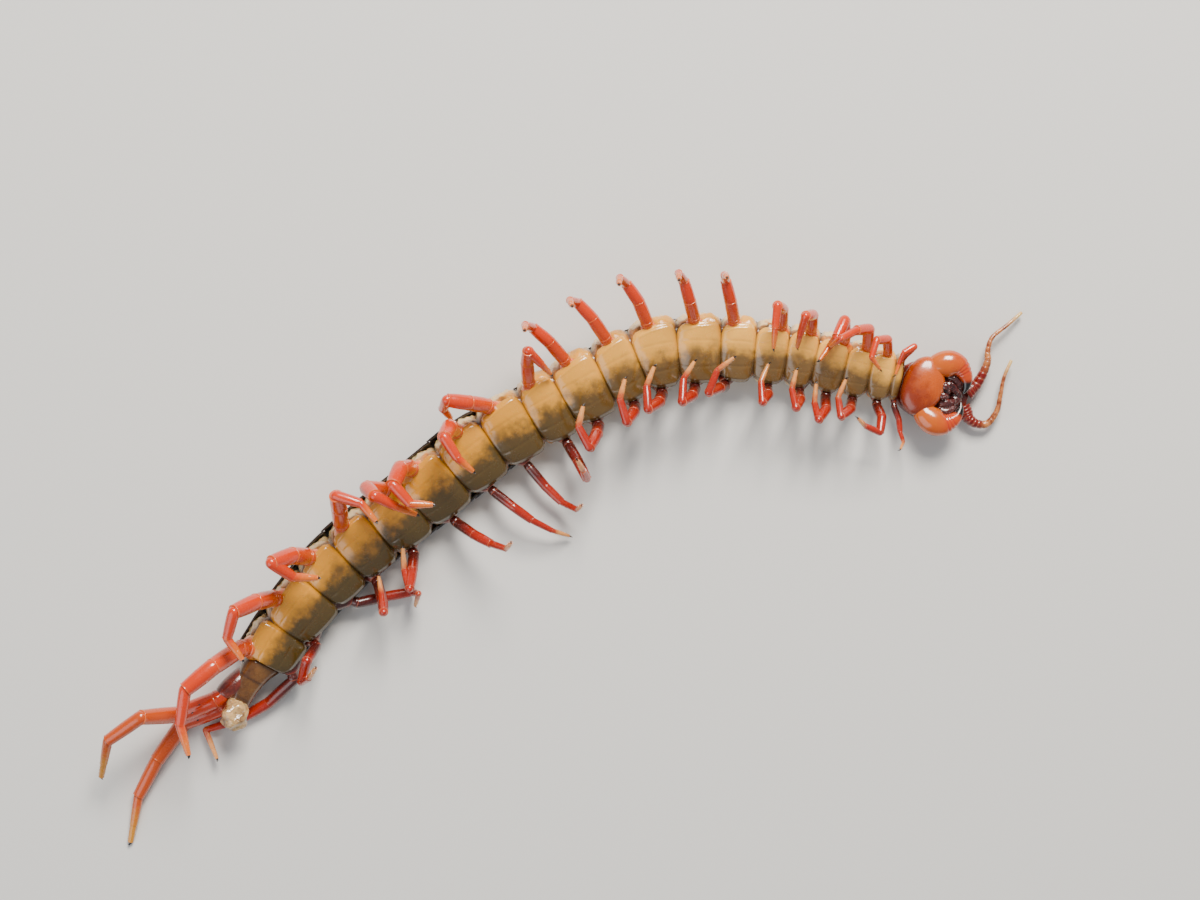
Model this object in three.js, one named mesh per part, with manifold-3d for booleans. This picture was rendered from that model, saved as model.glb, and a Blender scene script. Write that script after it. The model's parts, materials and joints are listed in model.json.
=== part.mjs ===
// A giant centipede at life size, lying on its back with its legs curled.
// Lengths are in millimetres, +Z is up and the floor is at z = 0.
// The head points to +X and the belly faces up, so the animal's right side is towards +Y.
import * as THREE from "three";
import { mergeVertices } from "three/addons/utils/BufferGeometryUtils.js";
import Module from "manifold-3d";

const wasm = await Module();
wasm.setup();

// Middle line of the belly plates, from the neck to the last plate that carries a leg.
const SPINE_POINTS = [
  [57.8, 30.1],
  [48.9, 31.9],
  [40.4, 33.8],
  [28.4, 35.0],
  [16.4, 34.3],
  [7.6, 30.5],
  [-1.4, 25.6],
  [-12.8, 18.6],
  [-24.4, 9.2],
  [-37.4, -1.4],
  [-46.7, -12.1],
  [-51.6, -19.7],
];
// Length and full width of each of the twenty trunk segments.
const SEGMENT_LENGTHS = [
  1.4, 4.0, 4.4, 5.3, 4.9, 5.5, 5.8, 7.3, 6.8, 6.6, 7.7, 6.5, 7.8, 8.4, 8.5, 7.8, 7.2, 7.1, 8.9, 6.8,
];
const SEGMENT_WIDTHS = [
  8.9, 9.4, 10.1, 10.7, 11.5, 11.6, 12.1, 12.7, 13.0, 13.2, 13.2, 13.2, 13.1, 13.0, 12.8, 12.5, 12.3,
  12.0, 11.4, 10.6,
];
const SEGMENTS_PER_LENGTH = [3, 3, 3, 3, 3, 3, 2];
// Half of the trunk's section at a width of 11.2, from the belly plate round to the back plate.
const SECTION_WIDTH = 11.2;
const HALF_SECTION = [
  [0, 3.3],
  [2.2, 3.25],
  [3.9, 3.0],
  [4.75, 2.0],
  [5.3, 0.5],
  [5.35, -0.7],
  [5.6, -1.6],
  [4.6, -2.6],
  [2.6, -3.2],
  [0, -3.3],
];
const AXIS_HEIGHT = 3.42;
const BELLY_HEIGHT = 3.3;
const HEIGHT_FOLLOWS_WIDTH = 0.5;
const ROLL = 15;
// Places of the rings along a segment, and how much each is drawn in, so that a segment
// bulges like a barrel. The ring at 0 is the joint in front of it.
const RING_PLACES = [0, 0.12, 0.38, 0.66, 0.9];
const RING_PINCHES = [0.14, 0.045, 0, 0, 0.03];
const GAP = 0.3;
// Edges shorter than this are closed up where solids are joined.
const SHORTEST_EDGE = 0.03;

// The coxa is the stub on the flank that each leg starts from. Its place in the section
// is higher on the right flank, because the animal lies rolled.
const COXAE = {
  right: { side: 1, out: 4.1, up: 2.0, tilt: 38 },
  left: { side: -1, out: 4.6, up: 1.3, tilt: 20 },
};
const COXA_LENGTH = 0.8;
const COXA_DEPTH = 1.6;

// Leg length and radius by segment, and the length's share in thigh, femur, tibia, two tarsi
// and claw. A leg is a little flattened, and the left ones lie with their narrow side up.
const LEG_LENGTHS = [
  9.0, 12.5, 15.0, 15.0, 15.0, 15.5, 16.0, 16.0, 16.0, 16.0, 16.0, 15.5, 16.0, 16.5, 17.0, 17.0, 17.5,
  19.0, 20.0, 24.5,
];
const LEG_SHARES = [0.26, 0.24, 0.25, 0.14, 0.08, 0.03];
const LEG_RADII = {
  right: [
    0.6, 0.82, 0.98, 1.0, 1.0, 1.02, 1.06, 1.08, 1.1, 1.1, 1.12, 1.12, 1.3, 1.35, 1.42, 1.3, 1.35,
    1.48, 1.45, 1.5,
  ],
  left: [
    0.52, 0.8, 0.88, 0.9, 0.88, 0.88, 0.92, 0.98, 1.02, 1.0, 1.05, 0.92, 0.82, 0.82, 0.88, 0.95, 0.9,
    0.9, 0.9, 1.0,
  ],
};
const LEG_SIDES = 6;
// Radius at the start and end of each of the six articles, as a share of the leg's radius.
const LEG_TAPER = [
  [1.0, 1.0],
  [1.0, 0.88],
  [0.72, 0.6],
  [0.52, 0.44],
  [0.4, 0.3],
  [0.24, 0.08],
];
// Each row is a leg: place along its segment, then heading and rise in degrees of
// the thigh, the femur, the tibia and the foot.
const RIGHT_LEGS = [
  [0.54, 45, 28, 210, 9, 252, -31, 250, 5],
  [0.46, 103, 54, 187, 46, 252, 11, 309, -26],
  [0.36, 93, 51, 188, 48, 208, 32, 217, -55],
  [0.26, 97, 45, 243, 25, 238, -66, 233, 20],
  [0.34, 95, 57, 194, 66, 256, -37, 262, -49],
  [0.3, 95, 56, 162, 72, 264, -2, 267, -22],
  [0.66, 105, 47, 106, 34, 123, 78, 293, 78],
  [0.61, 108, 50, 108, 33, 135, 68, 271, 67],
  [0.58, 114, 35, 126, 28, 146, 69, 265, 68],
  [0.49, 125, 28, 134, 22, 175, 72, 292, 70],
  [0.57, 131, 31, 140, 25, 166, 72, 272, 73],
  [0.62, 92, 47, 82, 59, 315, -40, 314, -51],
  [0.61, 172, 47, 173, 23, 237, -65, 306, -58],
  [0.44, 142, 80, 251, 62, 302, -3, 319, -26],
  [0.57, 188, 74, 252, 47, 312, -3, 358, -7],
  [0.3, 173, 60, 323, 59, 332, -26, 338, -14],
  [0.57, 87, 57, 92, 59, 343, 6, 310, -4],
  [0.55, 170, 68, 200, 48, 323, -29, 357, -23],
  [0.6, 189, 64, 205, 46, 253, -19, 305, -5],
  [0.82, 215, 42, 220, 12, 260, -10, 286, 1],
];
const LEFT_LEGS = [
  [0.31, 290, 7, 275, 4, 283, 40, 241, 44],
  [0.5, 286, 50, 260, 25, 157, 23, 139, 47],
  [0.46, 245, 68, 214, 51, 95, -29, 67, 0],
  [0.39, 263, 59, 231, 49, 100, -39, 85, 1],
  [0.36, 264, 72, 236, 61, 100, -29, 76, 2],
  [0.49, 263, 75, 229, 61, 92, -24, 66, -20],
  [0.83, 191, 75, 204, 56, 69, 0, 37, 7],
  [0.63, 242, 71, 210, 58, 86, -16, 58, 0],
  [0.64, 245, 69, 212, 54, 93, -13, 69, 2],
  [0.61, 251, 75, 234, 59, 107, 0, 76, 1],
  [0.6, 256, 70, 242, 50, 118, 1, 77, 1],
  [0.52, 301, 38, 297, 23, 113, 64, 118, 56],
  [0.64, 310, -2, 316, -4, 335, 42, 45, 70],
  [0.64, 323, 19, 324, -9, 332, -21, 341, -30],
  [0.64, 328, 35, 334, 35, 345, 49, 50, 66],
  [0.68, 269, 56, 266, 45, 111, -42, 94, -1],
  [0.83, 290, 45, 291, 71, 103, -48, 104, -42],
  [0.74, 12, -22, 10, -2, 358, 70, 250, -55],
  [0.86, 243, 64, 252, -33, 32, 64, 52, 54],
  [0.82, 222, -14, 210, -3, 197, 0, 294, 10],
];
// The last pair of legs is longer, trails behind and ends in longer feet.
const TAIL_LEG_LENGTH = 31;
const TAIL_LEG_RADIUS = 1.5;
const TAIL_LEG_SHARES = [0.22, 0.26, 0.23, 0.17, 0.1, 0.02];
const TAIL_LEG_TAPER = [
  [1.0, 1.0],
  [0.95, 0.86],
  [0.8, 0.7],
  [0.56, 0.44],
  [0.38, 0.32],
  [0.22, 0.08],
];
const RIGHT_TAIL_LEG = [202, -8, 178, 48, 215, -8, 253, -33];
const LEFT_TAIL_LEG = [201, -6, 235, 4, 242, -6, 259, -6];

// The head points along this heading from the front end of the spine.
const HEAD_HEADING = -15;
// Rings of the head: forward place, half width, underside and top.
const HEAD_RINGS = [
  [0.3, 3.4, 0.5, 2.9],
  [1.6, 4.2, 0, 3.25],
  [4.2, 5.1, -0.2, 3.25],
  [7.4, 5.4, -0.2, 3.25],
  [9.6, 4.9, -0.1, 3.1],
  [11.0, 3.7, 0.3, 2.9],
  [11.8, 2.4, 0.8, 2.5],
];
const HEAD_TOP = 3.25;
// The plate that carries the poison claws lies on the head's belly side.
const CLAW_PLATE_RINGS = [
  [0.35, 1.5, 4.2, 6.0],
  [0.7, 2.5, 3.9, 6.5],
  [1.5, 3.6, 3.5, 6.9],
  [2.6, 4.5, 3.5, 7.1],
  [4.0, 5.0, 3.5, 7.1],
  [5.6, 4.0, 3.5, 7.0],
  [6.8, 2.0, 3.6, 6.7],
  [7.3, 0.9, 4.2, 6.2],
];
const CLAW_PLATE_UNDERSIDE = 3.55;
const CLAW_SEAT = [4.9, 3.66];
const CLAW_SEAT_ANGLE = 42;
// Middle line of a poison claw from the plate: forward, outward, and its radius.
const CLAW_LINE = [
  [6.4, 4.9, 2.15],
  [7.9, 5.3, 2.25],
  [9.2, 5.1, 1.75],
  [10.4, 4.1, 1.15],
  [11.1, 2.5, 0.72],
  [10.9, 0.75, 0.15],
];
const CLAW_BASE_RADIUS = 1.85;
const CLAW_HEIGHT = 5.35;
const CLAW_FLATNESS = 0.8;
const CLAW_STATIONS = 10;
const CLAW_SIDES = 10;
// Two rounded jaws between the poison claws.
const JAW_CENTRE = [9.05, 1.15, 3.3];
const JAW_SIZE = [1.15, 1.0, 1.4];

// Each antenna leaves a short socket at the head's front edge.
const SOCKET_FORWARD = 11.8;
const SOCKET_OUT = 1.25;
const SOCKET_UP = 1.9;
const SOCKET_RADIUS = 1.0;
const SOCKET_LENGTH = 1.0;
const RIGHT_SOCKET_HEADING = 41;
const LEFT_SOCKET_HEADING = -62;
const RIGHT_ANTENNA = [
  [72.3, 31.6, 2.4],
  [73.1, 33.8, 2.6],
  [73.1, 35.4, 2.6],
  [73.9, 37.8, 2.4],
  [76.6, 40.0, 2.0],
  [79.2, 42.2, 1.2],
];
const LEFT_ANTENNA = [
  [71.2, 23.0, 1.9],
  [73.2, 23.0, 1.8],
  [74.8, 25.2, 2.0],
  [75.4, 28.0, 2.2],
  [76.0, 31.0, 2.3],
  [77.3, 33.9, 2.0],
];
const ANTENNA_BASE_RADIUS = 0.92;
const ANTENNA_TIP_RADIUS = 0.33;
const ANTENNA_STATIONS = 16;
const ANTENNA_SIDES = 7;

// The tail end carries the last pair of legs. Its places are tailward, rightward and up
// from the end of the twentieth segment.
const TAIL_HEADING = 237;
const TAIL_ROLL = 24;
// Rings of the tail body: tailward, rightward, up, half width, half height.
const TAIL_RINGS = [
  [0.3, 0.4, 3.3, 3.3, 2.8],
  [1.3, 1.2, 3.4, 3.2, 2.7],
  [3.2, 1.3, 4.0, 2.7, 2.1],
  [5.6, 1.2, 4.3, 2.3, 1.8],
  [8.4, 0.6, 4.6, 1.7, 1.5],
];
// A flank of the tail: start, end, and radius at both ends.
const RIGHT_TAIL_FLANK = { from: [2.4, 2.2, 3.8], to: [8.4, 3.6, 5.6], radii: [1.3, 1.9, 1.5] };
const LEFT_TAIL_FLANK = { from: [3.2, 0.6, 3.0], to: [9.6, 2.3, 2.4], radii: [1.3, 1.6, 1.5] };
const VENT_CENTRE = [10.2, 0.0, 6.0];
const VENT_SIZE = [2.6, 2.2, 1.7];

const COLOURS = {
  trunk: 0xa9803c,
  head: 0xc8541e,
  plate: 0xd4561c,
  claw: 0xe0702a,
  antenna: 0xb4402a,
  leg: 0xe8552c,
  tail: 0x7a4326,
  tailLeg: 0xd8642e,
};

// Directions and places

function direction(heading, rise) {
  const h = THREE.MathUtils.degToRad(heading);
  const r = THREE.MathUtils.degToRad(rise);
  return new THREE.Vector3(Math.cos(h) * Math.cos(r), Math.sin(h) * Math.cos(r), Math.sin(r));
}

// A frame on the floor plane: ahead along a heading, and the animal's right side.
function groundFrame(origin, heading, rightTurn) {
  const ahead = direction(heading, 0);
  const right = direction(heading + rightTurn, 0);
  return (a, r, z) =>
    new THREE.Vector3(origin.x, origin.y, 0)
      .addScaledVector(ahead, a)
      .addScaledVector(right, r)
      .setZ(z);
}

// Solids

// A closed solid through rings of points, each ring turning right-handed about the way along.
function loft(rings) {
  const sides = rings[0].length;
  const positions = rings.flat().flatMap((p) => [p.x, p.y, p.z]);
  const index = [];
  for (let i = 0; i + 1 < rings.length; i += 1) {
    for (let j = 0; j < sides; j += 1) {
      const k = (j + 1) % sides;
      const [a, b, c, d] = [i * sides + j, i * sides + k, (i + 1) * sides + k, (i + 1) * sides + j];
      index.push(a, b, c, a, c, d);
    }
  }
  for (const end of [0, rings.length - 1]) {
    const centre = rings[end].reduce((sum, p) => sum.add(p), new THREE.Vector3()).divideScalar(sides);
    const middle = positions.length / 3;
    positions.push(centre.x, centre.y, centre.z);
    for (let j = 0; j < sides; j += 1) {
      const a = end * sides + j;
      const b = end * sides + ((j + 1) % sides);
      index.push(...(end === 0 ? [middle, b, a] : [middle, a, b]));
    }
  }
  const geometry = new THREE.BufferGeometry();
  geometry.setAttribute("position", new THREE.Float32BufferAttribute(positions, 3));
  geometry.setIndex(index);
  return geometry;
}

// A tube through stations { at, axis, radius, flat }, without twist; flat scales its height.
function tube(stations, sides) {
  const up = new THREE.Vector3(0, 0, 1);
  const turn = new THREE.Quaternion();
  const rings = stations.map(({ at, axis, radius, flat = 1 }, i) => {
    if (i > 0) up.applyQuaternion(turn.setFromUnitVectors(stations[i - 1].axis, axis));
    up.addScaledVector(axis, -up.dot(axis)).normalize();
    const side = new THREE.Vector3().crossVectors(up, axis);
    return Array.from({ length: sides }, (_, j) => {
      const angle = (2 * Math.PI * j) / sides;
      return at
        .clone()
        .addScaledVector(side, radius * Math.cos(angle))
        .addScaledVector(up, radius * flat * -Math.sin(angle));
    }).reverse();
  });
  return loft(rings);
}

// A smooth tube through points, with its first face square to the start axis.
function smoothTube(points, radii, startAxis, count, sides, flat) {
  const line = new THREE.CatmullRomCurve3(points, false, "catmullrom", 0.5);
  const stations = Array.from({ length: count + 1 }, (_, i) => {
    const t = i / count;
    const place = t * (radii.length - 1);
    const low = Math.min(Math.floor(place), radii.length - 2);
    const radius = THREE.MathUtils.lerp(radii[low], radii[low + 1], place - low);
    const axis = i === 0 ? startAxis.clone() : line.getTangent(t).normalize();
    return { at: line.getPoint(t), axis, radius, flat };
  });
  return tube(stations, sides);
}

// A ring of a rounded box shape standing across the way along.
function roundedRing(place, sides, halfWidth, halfHeight, roll, power) {
  return Array.from({ length: sides }, (_, j) => {
    const angle = (2 * Math.PI * (j + 0.5)) / sides;
    const u = halfWidth * Math.sign(Math.sin(angle)) * Math.abs(Math.sin(angle)) ** power;
    const w = halfHeight * Math.sign(Math.cos(angle)) * Math.abs(Math.cos(angle)) ** power;
    const r = THREE.MathUtils.degToRad(roll);
    return place(u * Math.cos(r) - w * Math.sin(r), u * Math.sin(r) + w * Math.cos(r));
  });
}

function ellipsoid(centre, size, turn) {
  return new THREE.SphereGeometry(1, 12, 8)
    .scale(size[0], size[1], size[2])
    .rotateZ(THREE.MathUtils.degToRad(turn))
    .translate(centre.x, centre.y, centre.z);
}

function manifoldOf(geometry) {
  const bare = geometry.clone();
  bare.deleteAttribute("normal");
  bare.deleteAttribute("uv");
  const merged = mergeVertices(bare, 1e-4);
  return new wasm.Manifold(
    new wasm.Mesh({
      numProp: 3,
      vertProperties: merged.attributes.position.array,
      triVerts: new Uint32Array(merged.index.array),
    }),
  );
}

function geometryOf(solid) {
  const { vertProperties, triVerts } = solid.getMesh();
  const geometry = new THREE.BufferGeometry();
  geometry.setAttribute("position", new THREE.BufferAttribute(new Float32Array(vertProperties), 3));
  geometry.setIndex(new THREE.BufferAttribute(new Uint32Array(triVerts), 1));
  return geometry;
}

// The union of several solids, of which only the largest closed surface is kept.
function joined(geometries) {
  const whole = geometries
    .map(manifoldOf)
    .reduce((sum, solid) => sum.add(solid))
    .asOriginal()
    .simplify(SHORTEST_EDGE);
  const bodies = whole.decompose();
  return geometryOf(bodies.reduce((a, b) => (b.volume() > a.volume() ? b : a)));
}

const model = new THREE.Group();

function addNode(name, geometry, colour) {
  geometry.computeVertexNormals();
  const material = new THREE.MeshStandardMaterial({ color: colour, flatShading: true, roughness: 0.4 });
  const mesh = new THREE.Mesh(geometry, material);
  mesh.name = name;
  model.add(mesh);
}

// Trunk

const spine = new THREE.CatmullRomCurve3(
  SPINE_POINTS.map(([x, y]) => new THREE.Vector3(x, y, 0)),
  false,
  "catmullrom",
  0.5,
);
spine.arcLengthDivisions = 600;
const SPINE_LENGTH = spine.getLength();
const SEGMENT_STARTS = SEGMENT_LENGTHS.map((_, i) =>
  SEGMENT_LENGTHS.slice(0, i).reduce((sum, length) => sum + length, 0),
);
const TRUNK_END = SEGMENT_STARTS.at(-1) + SEGMENT_LENGTHS.at(-1);

// The trunk's size at a distance along the spine, relative to the section above.
function trunkScale(distance) {
  const middles = SEGMENT_STARTS.map((start, i) => start + SEGMENT_LENGTHS[i] / 2);
  const after = middles.findIndex((middle) => middle > distance);
  if (after === 0) return SEGMENT_WIDTHS[0] / SECTION_WIDTH;
  if (after < 0) return SEGMENT_WIDTHS.at(-1) / SECTION_WIDTH;
  const share = (distance - middles[after - 1]) / (middles[after] - middles[after - 1]);
  return THREE.MathUtils.lerp(SEGMENT_WIDTHS[after - 1], SEGMENT_WIDTHS[after], share) / SECTION_WIDTH;
}

// Places in the trunk's rolled section: across to the right and up from its axis.
function trunkFrame(distance) {
  const u = Math.min(distance / SPINE_LENGTH, 1);
  const back = spine.getTangentAt(u);
  const right = new THREE.Vector3(back.y, -back.x, 0);
  const wide = trunkScale(distance);
  const high = THREE.MathUtils.lerp(1, wide, HEIGHT_FOLLOWS_WIDTH);
  const roll = THREE.MathUtils.degToRad(ROLL);
  const axis = spine
    .getPointAt(u)
    .addScaledVector(right, high * BELLY_HEIGHT * Math.sin(roll))
    .setZ(high * AXIS_HEIGHT);
  const aside = right.clone().multiplyScalar(Math.cos(roll)).setZ(Math.sin(roll));
  const belly = right.clone().multiplyScalar(-Math.sin(roll)).setZ(Math.cos(roll));
  return { axis, aside, belly, wide, high };
}

function trunkRing(distance, pinch) {
  const { axis, aside, belly, wide, high } = trunkFrame(distance);
  const left = HALF_SECTION.slice(1, -1)
    .reverse()
    .map(([u, w]) => [-u, w]);
  return [...HALF_SECTION, ...left].map(([u, w]) => {
    const point = axis
      .clone()
      .addScaledVector(aside, u * wide * (1 - pinch))
      .addScaledVector(belly, w * high * (1 - pinch));
    return point.setZ(Math.max(point.z, 0));
  });
}

// The seat of a leg on the trunk: the middle of the coxa and the way it points.
function coxaSeat({ side, out, up, tilt: tiltAngle }, segment, row) {
  const { axis, aside, belly, wide, high } = trunkFrame(
    SEGMENT_STARTS[segment] + row[0] * SEGMENT_LENGTHS[segment],
  );
  const tilt = THREE.MathUtils.degToRad(tiltAngle);
  const outward = aside
    .clone()
    .multiplyScalar(side * Math.cos(tilt))
    .addScaledVector(belly, Math.sin(tilt));
  const thigh = direction(row[1], row[2]);
  const at = axis
    .clone()
    .addScaledVector(aside, side * out * wide)
    .addScaledVector(belly, up * high);
  return { at, axis: outward.multiplyScalar(1.2).add(thigh).normalize(), scale: wide };
}

function legRadius(name, segment) {
  return LEG_RADII[name][segment];
}

function coxa(seat, radius) {
  const stations = [-COXA_DEPTH, 0, COXA_LENGTH].map((along, i) => ({
    at: seat.at.clone().addScaledVector(seat.axis, along * seat.scale),
    axis: seat.axis,
    radius: radius * [1.0, 1.2, 1.0][i],
  }));
  return tube(stations, 7);
}

// Legs

// A jointed limb as runs of stations: straight articles with a rounded bend where two meet.
// A bend too sharp for that ends one run in a knuckle and starts the next there.
function limbRuns(start, startAxis, baseLength, lengths, ways, radius, articles) {
  const joints = [start.clone(), start.clone().addScaledVector(startAxis, baseLength)];
  const axes = [startAxis, ...ways];
  lengths.forEach((length, i) => joints.push(joints.at(-1).clone().addScaledVector(ways[i], length)));
  const spans = [baseLength, ...lengths];
  const taper = [[0.95, 1.0], ...articles].map((pair) => pair.map((share) => share * radius));
  const runs = [[{ at: joints[0], axis: axes[0], radius: taper[0][0] }]];
  const knuckles = [];
  for (let i = 1; i < axes.length; i += 1) {
    const bend = axes[i - 1].angleTo(axes[i]);
    const [before, after] = [taper[i - 1][1], taper[i][0]];
    const room = Math.max(0.18, before * Math.tan(bend / 2) * 1.05);
    if (room > Math.min(spans[i - 1] * (i === 1 ? 0.7 : 0.48), spans[i] * 0.48)) {
      runs.at(-1).push({ at: joints[i], axis: axes[i - 1], radius: before });
      runs.push([{ at: joints[i], axis: axes[i], radius: after }]);
      knuckles.push({ at: joints[i], radius: before * (i === 1 ? 0.86 : 1.0) });
      continue;
    }
    const from = joints[i].clone().addScaledVector(axes[i - 1], -room);
    const to = joints[i].clone().addScaledVector(axes[i], room);
    const stations = runs.at(-1);
    stations.push({ at: from, axis: axes[i - 1], radius: before });
    if (bend > 0.6) {
      const at = new THREE.QuadraticBezierCurve3(from, joints[i], to).getPoint(0.5);
      const axis = axes[i - 1].clone().add(axes[i]).normalize();
      stations.push({ at, axis, radius: (before + after) / 2 });
    }
    stations.push({ at: to, axis: axes[i], radius: after });
  }
  runs.at(-1).push({ at: joints.at(-1), axis: axes.at(-1), radius: taper.at(-1)[1] });
  return { runs, knuckles };
}

// Headings and rises of the four stretches, spread over the six articles.
function articleWays(pose) {
  const [thigh, femur, tibia, foot] = [0, 2, 4, 6].map((i) => direction(pose[i], pose[i + 1]));
  return [thigh, femur, tibia, foot, foot, foot];
}

function leg(seat, pose, length, shares, radius, articles) {
  const start = seat.at.clone().addScaledVector(seat.axis, COXA_LENGTH * seat.scale + GAP);
  const lengths = shares.map((share) => share * length);
  const ways = articleWays(pose);
  const { runs, knuckles } = limbRuns(start, seat.axis, radius * 0.9, lengths, ways, radius, articles);
  const tubes = runs.map((run) => tube(run, LEG_SIDES));
  if (tubes.length === 1) return tubes[0];
  const balls = knuckles.map(({ at, radius: size }) =>
    new THREE.SphereGeometry(size, 7, 5).translate(at.x, at.y, at.z),
  );
  return joined([...tubes, ...balls]);
}

const seats = { right: [], left: [] };
const LEG_ROWS = { right: RIGHT_LEGS, left: LEFT_LEGS };
for (const name of ["right", "left"]) {
  LEG_ROWS[name].forEach((row, segment) => {
    const seat = coxaSeat(COXAE[name], segment, row);
    seats[name].push(seat);
    const number = String(segment + 1).padStart(2, "0");
    const length = LEG_LENGTHS[segment];
    addNode(
      `leg_${name}_${number}`,
      leg(seat, row.slice(1), length, LEG_SHARES, legRadius(name, segment), LEG_TAPER),
      COLOURS.leg,
    );
  });
}

let firstSegment = 0;
SEGMENTS_PER_LENGTH.forEach((count, part) => {
  const rings = [];
  for (let segment = firstSegment; segment < firstSegment + count; segment += 1) {
    RING_PLACES.forEach((place, i) => {
      const nudge = i === 0 && segment === firstSegment ? GAP / 2 : 0;
      const distance = SEGMENT_STARTS[segment] + place * SEGMENT_LENGTHS[segment] + nudge;
      rings.push(trunkRing(distance, RING_PINCHES[i]));
    });
  }
  const last = firstSegment + count;
  const end = last < SEGMENT_STARTS.length ? SEGMENT_STARTS[last] : TRUNK_END;
  rings.push(trunkRing(end - GAP / 2, RING_PINCHES[0]));
  const coxae = [];
  for (let segment = firstSegment; segment < last; segment += 1) {
    coxae.push(coxa(seats.right[segment], legRadius("right", segment)));
    coxae.push(coxa(seats.left[segment], legRadius("left", segment)));
  }
  addNode(`trunk_${part + 1}`, joined([loft(rings), ...coxae]), COLOURS.trunk);
  firstSegment = last;
});

// Head, poison claws and antennae

const neck = new THREE.Vector3(SPINE_POINTS[0][0], SPINE_POINTS[0][1], 0);
const headPlace = groundFrame(neck, HEAD_HEADING, 90);
const headAxis = direction(HEAD_HEADING, 0);

function headSolid(rows, sides, power, lowest, highest) {
  return loft(
    rows.map(([ahead, halfWidth, low, high]) =>
      roundedRing(
        (u, w) =>
          headPlace(ahead, u, THREE.MathUtils.clamp((low + high) / 2 + w, lowest, highest)),
        sides,
        halfWidth,
        (high - low) / 2,
        0,
        power,
      ).reverse(),
    ),
  );
}

function socket(side, heading) {
  const at = headPlace(SOCKET_FORWARD, side * SOCKET_OUT, SOCKET_UP);
  const axis = direction(heading, 4);
  return { at, axis, end: at.clone().addScaledVector(axis, SOCKET_LENGTH) };
}

const sockets = [socket(1, RIGHT_SOCKET_HEADING), socket(-1, LEFT_SOCKET_HEADING)];
const socketTubes = sockets.map(({ at, axis, end }) =>
  tube(
    [
      { at: at.clone().addScaledVector(axis, -1.2), axis, radius: SOCKET_RADIUS * 0.9 },
      { at: end, axis, radius: SOCKET_RADIUS },
    ],
    8,
  ),
);
const jaws = [1, -1].map((side) =>
  ellipsoid(headPlace(JAW_CENTRE[0], side * JAW_CENTRE[1], JAW_CENTRE[2]), JAW_SIZE, HEAD_HEADING),
);
addNode(
  "head",
  joined([headSolid(HEAD_RINGS, 16, 0.7, 0, HEAD_TOP), ...socketTubes, ...jaws]),
  COLOURS.head,
);

// The plate's front corners are cut flat where the poison claws sit.
function seatCutter(side) {
  const box = new THREE.BoxGeometry(8, 8, 8).translate(4, 0, 0);
  const at = headPlace(CLAW_SEAT[0], side * CLAW_SEAT[1], CLAW_HEIGHT);
  return box
    .rotateZ(THREE.MathUtils.degToRad(HEAD_HEADING + side * CLAW_SEAT_ANGLE))
    .translate(at.x, at.y, at.z);
}
const plate = headSolid(CLAW_PLATE_RINGS, 16, 0.75, CLAW_PLATE_UNDERSIDE, 8);
const cutPlate = [1, -1].reduce(
  (solid, side) => solid.subtract(manifoldOf(seatCutter(side))),
  manifoldOf(plate),
);
addNode("poison_claw_plate", geometryOf(cutPlate), COLOURS.plate);

for (const [name, side] of [
  ["right", 1],
  ["left", -1],
]) {
  const axis = direction(HEAD_HEADING + side * CLAW_SEAT_ANGLE, 0);
  const base = headPlace(CLAW_SEAT[0], side * CLAW_SEAT[1], CLAW_HEIGHT).addScaledVector(axis, GAP);
  const line = CLAW_LINE.map(([ahead, out]) => headPlace(ahead, side * out, CLAW_HEIGHT));
  const radii = [CLAW_BASE_RADIUS, ...CLAW_LINE.map((row) => row[2])];
  addNode(
    `poison_claw_${name}`,
    smoothTube([base, ...line], radii, axis, CLAW_STATIONS, CLAW_SIDES, CLAW_FLATNESS),
    COLOURS.claw,
  );
}

[RIGHT_ANTENNA, LEFT_ANTENNA].forEach((points, i) => {
  const { axis, end } = sockets[i];
  const start = end.clone().addScaledVector(axis, GAP);
  const line = [start, start.clone().addScaledVector(axis, 0.9)];
  line.push(...points.map(([x, y, z]) => new THREE.Vector3(x, y, z)));
  const radii = Array.from({ length: 8 }, (_, j) =>
    THREE.MathUtils.lerp(ANTENNA_BASE_RADIUS, ANTENNA_TIP_RADIUS, (j / 7) ** 0.7),
  );
  addNode(
    ["antenna_right", "antenna_left"][i],
    smoothTube(line, radii, axis, ANTENNA_STATIONS, ANTENNA_SIDES, 1),
    COLOURS.antenna,
  );
});

// Tail end and the last pair of legs

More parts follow.
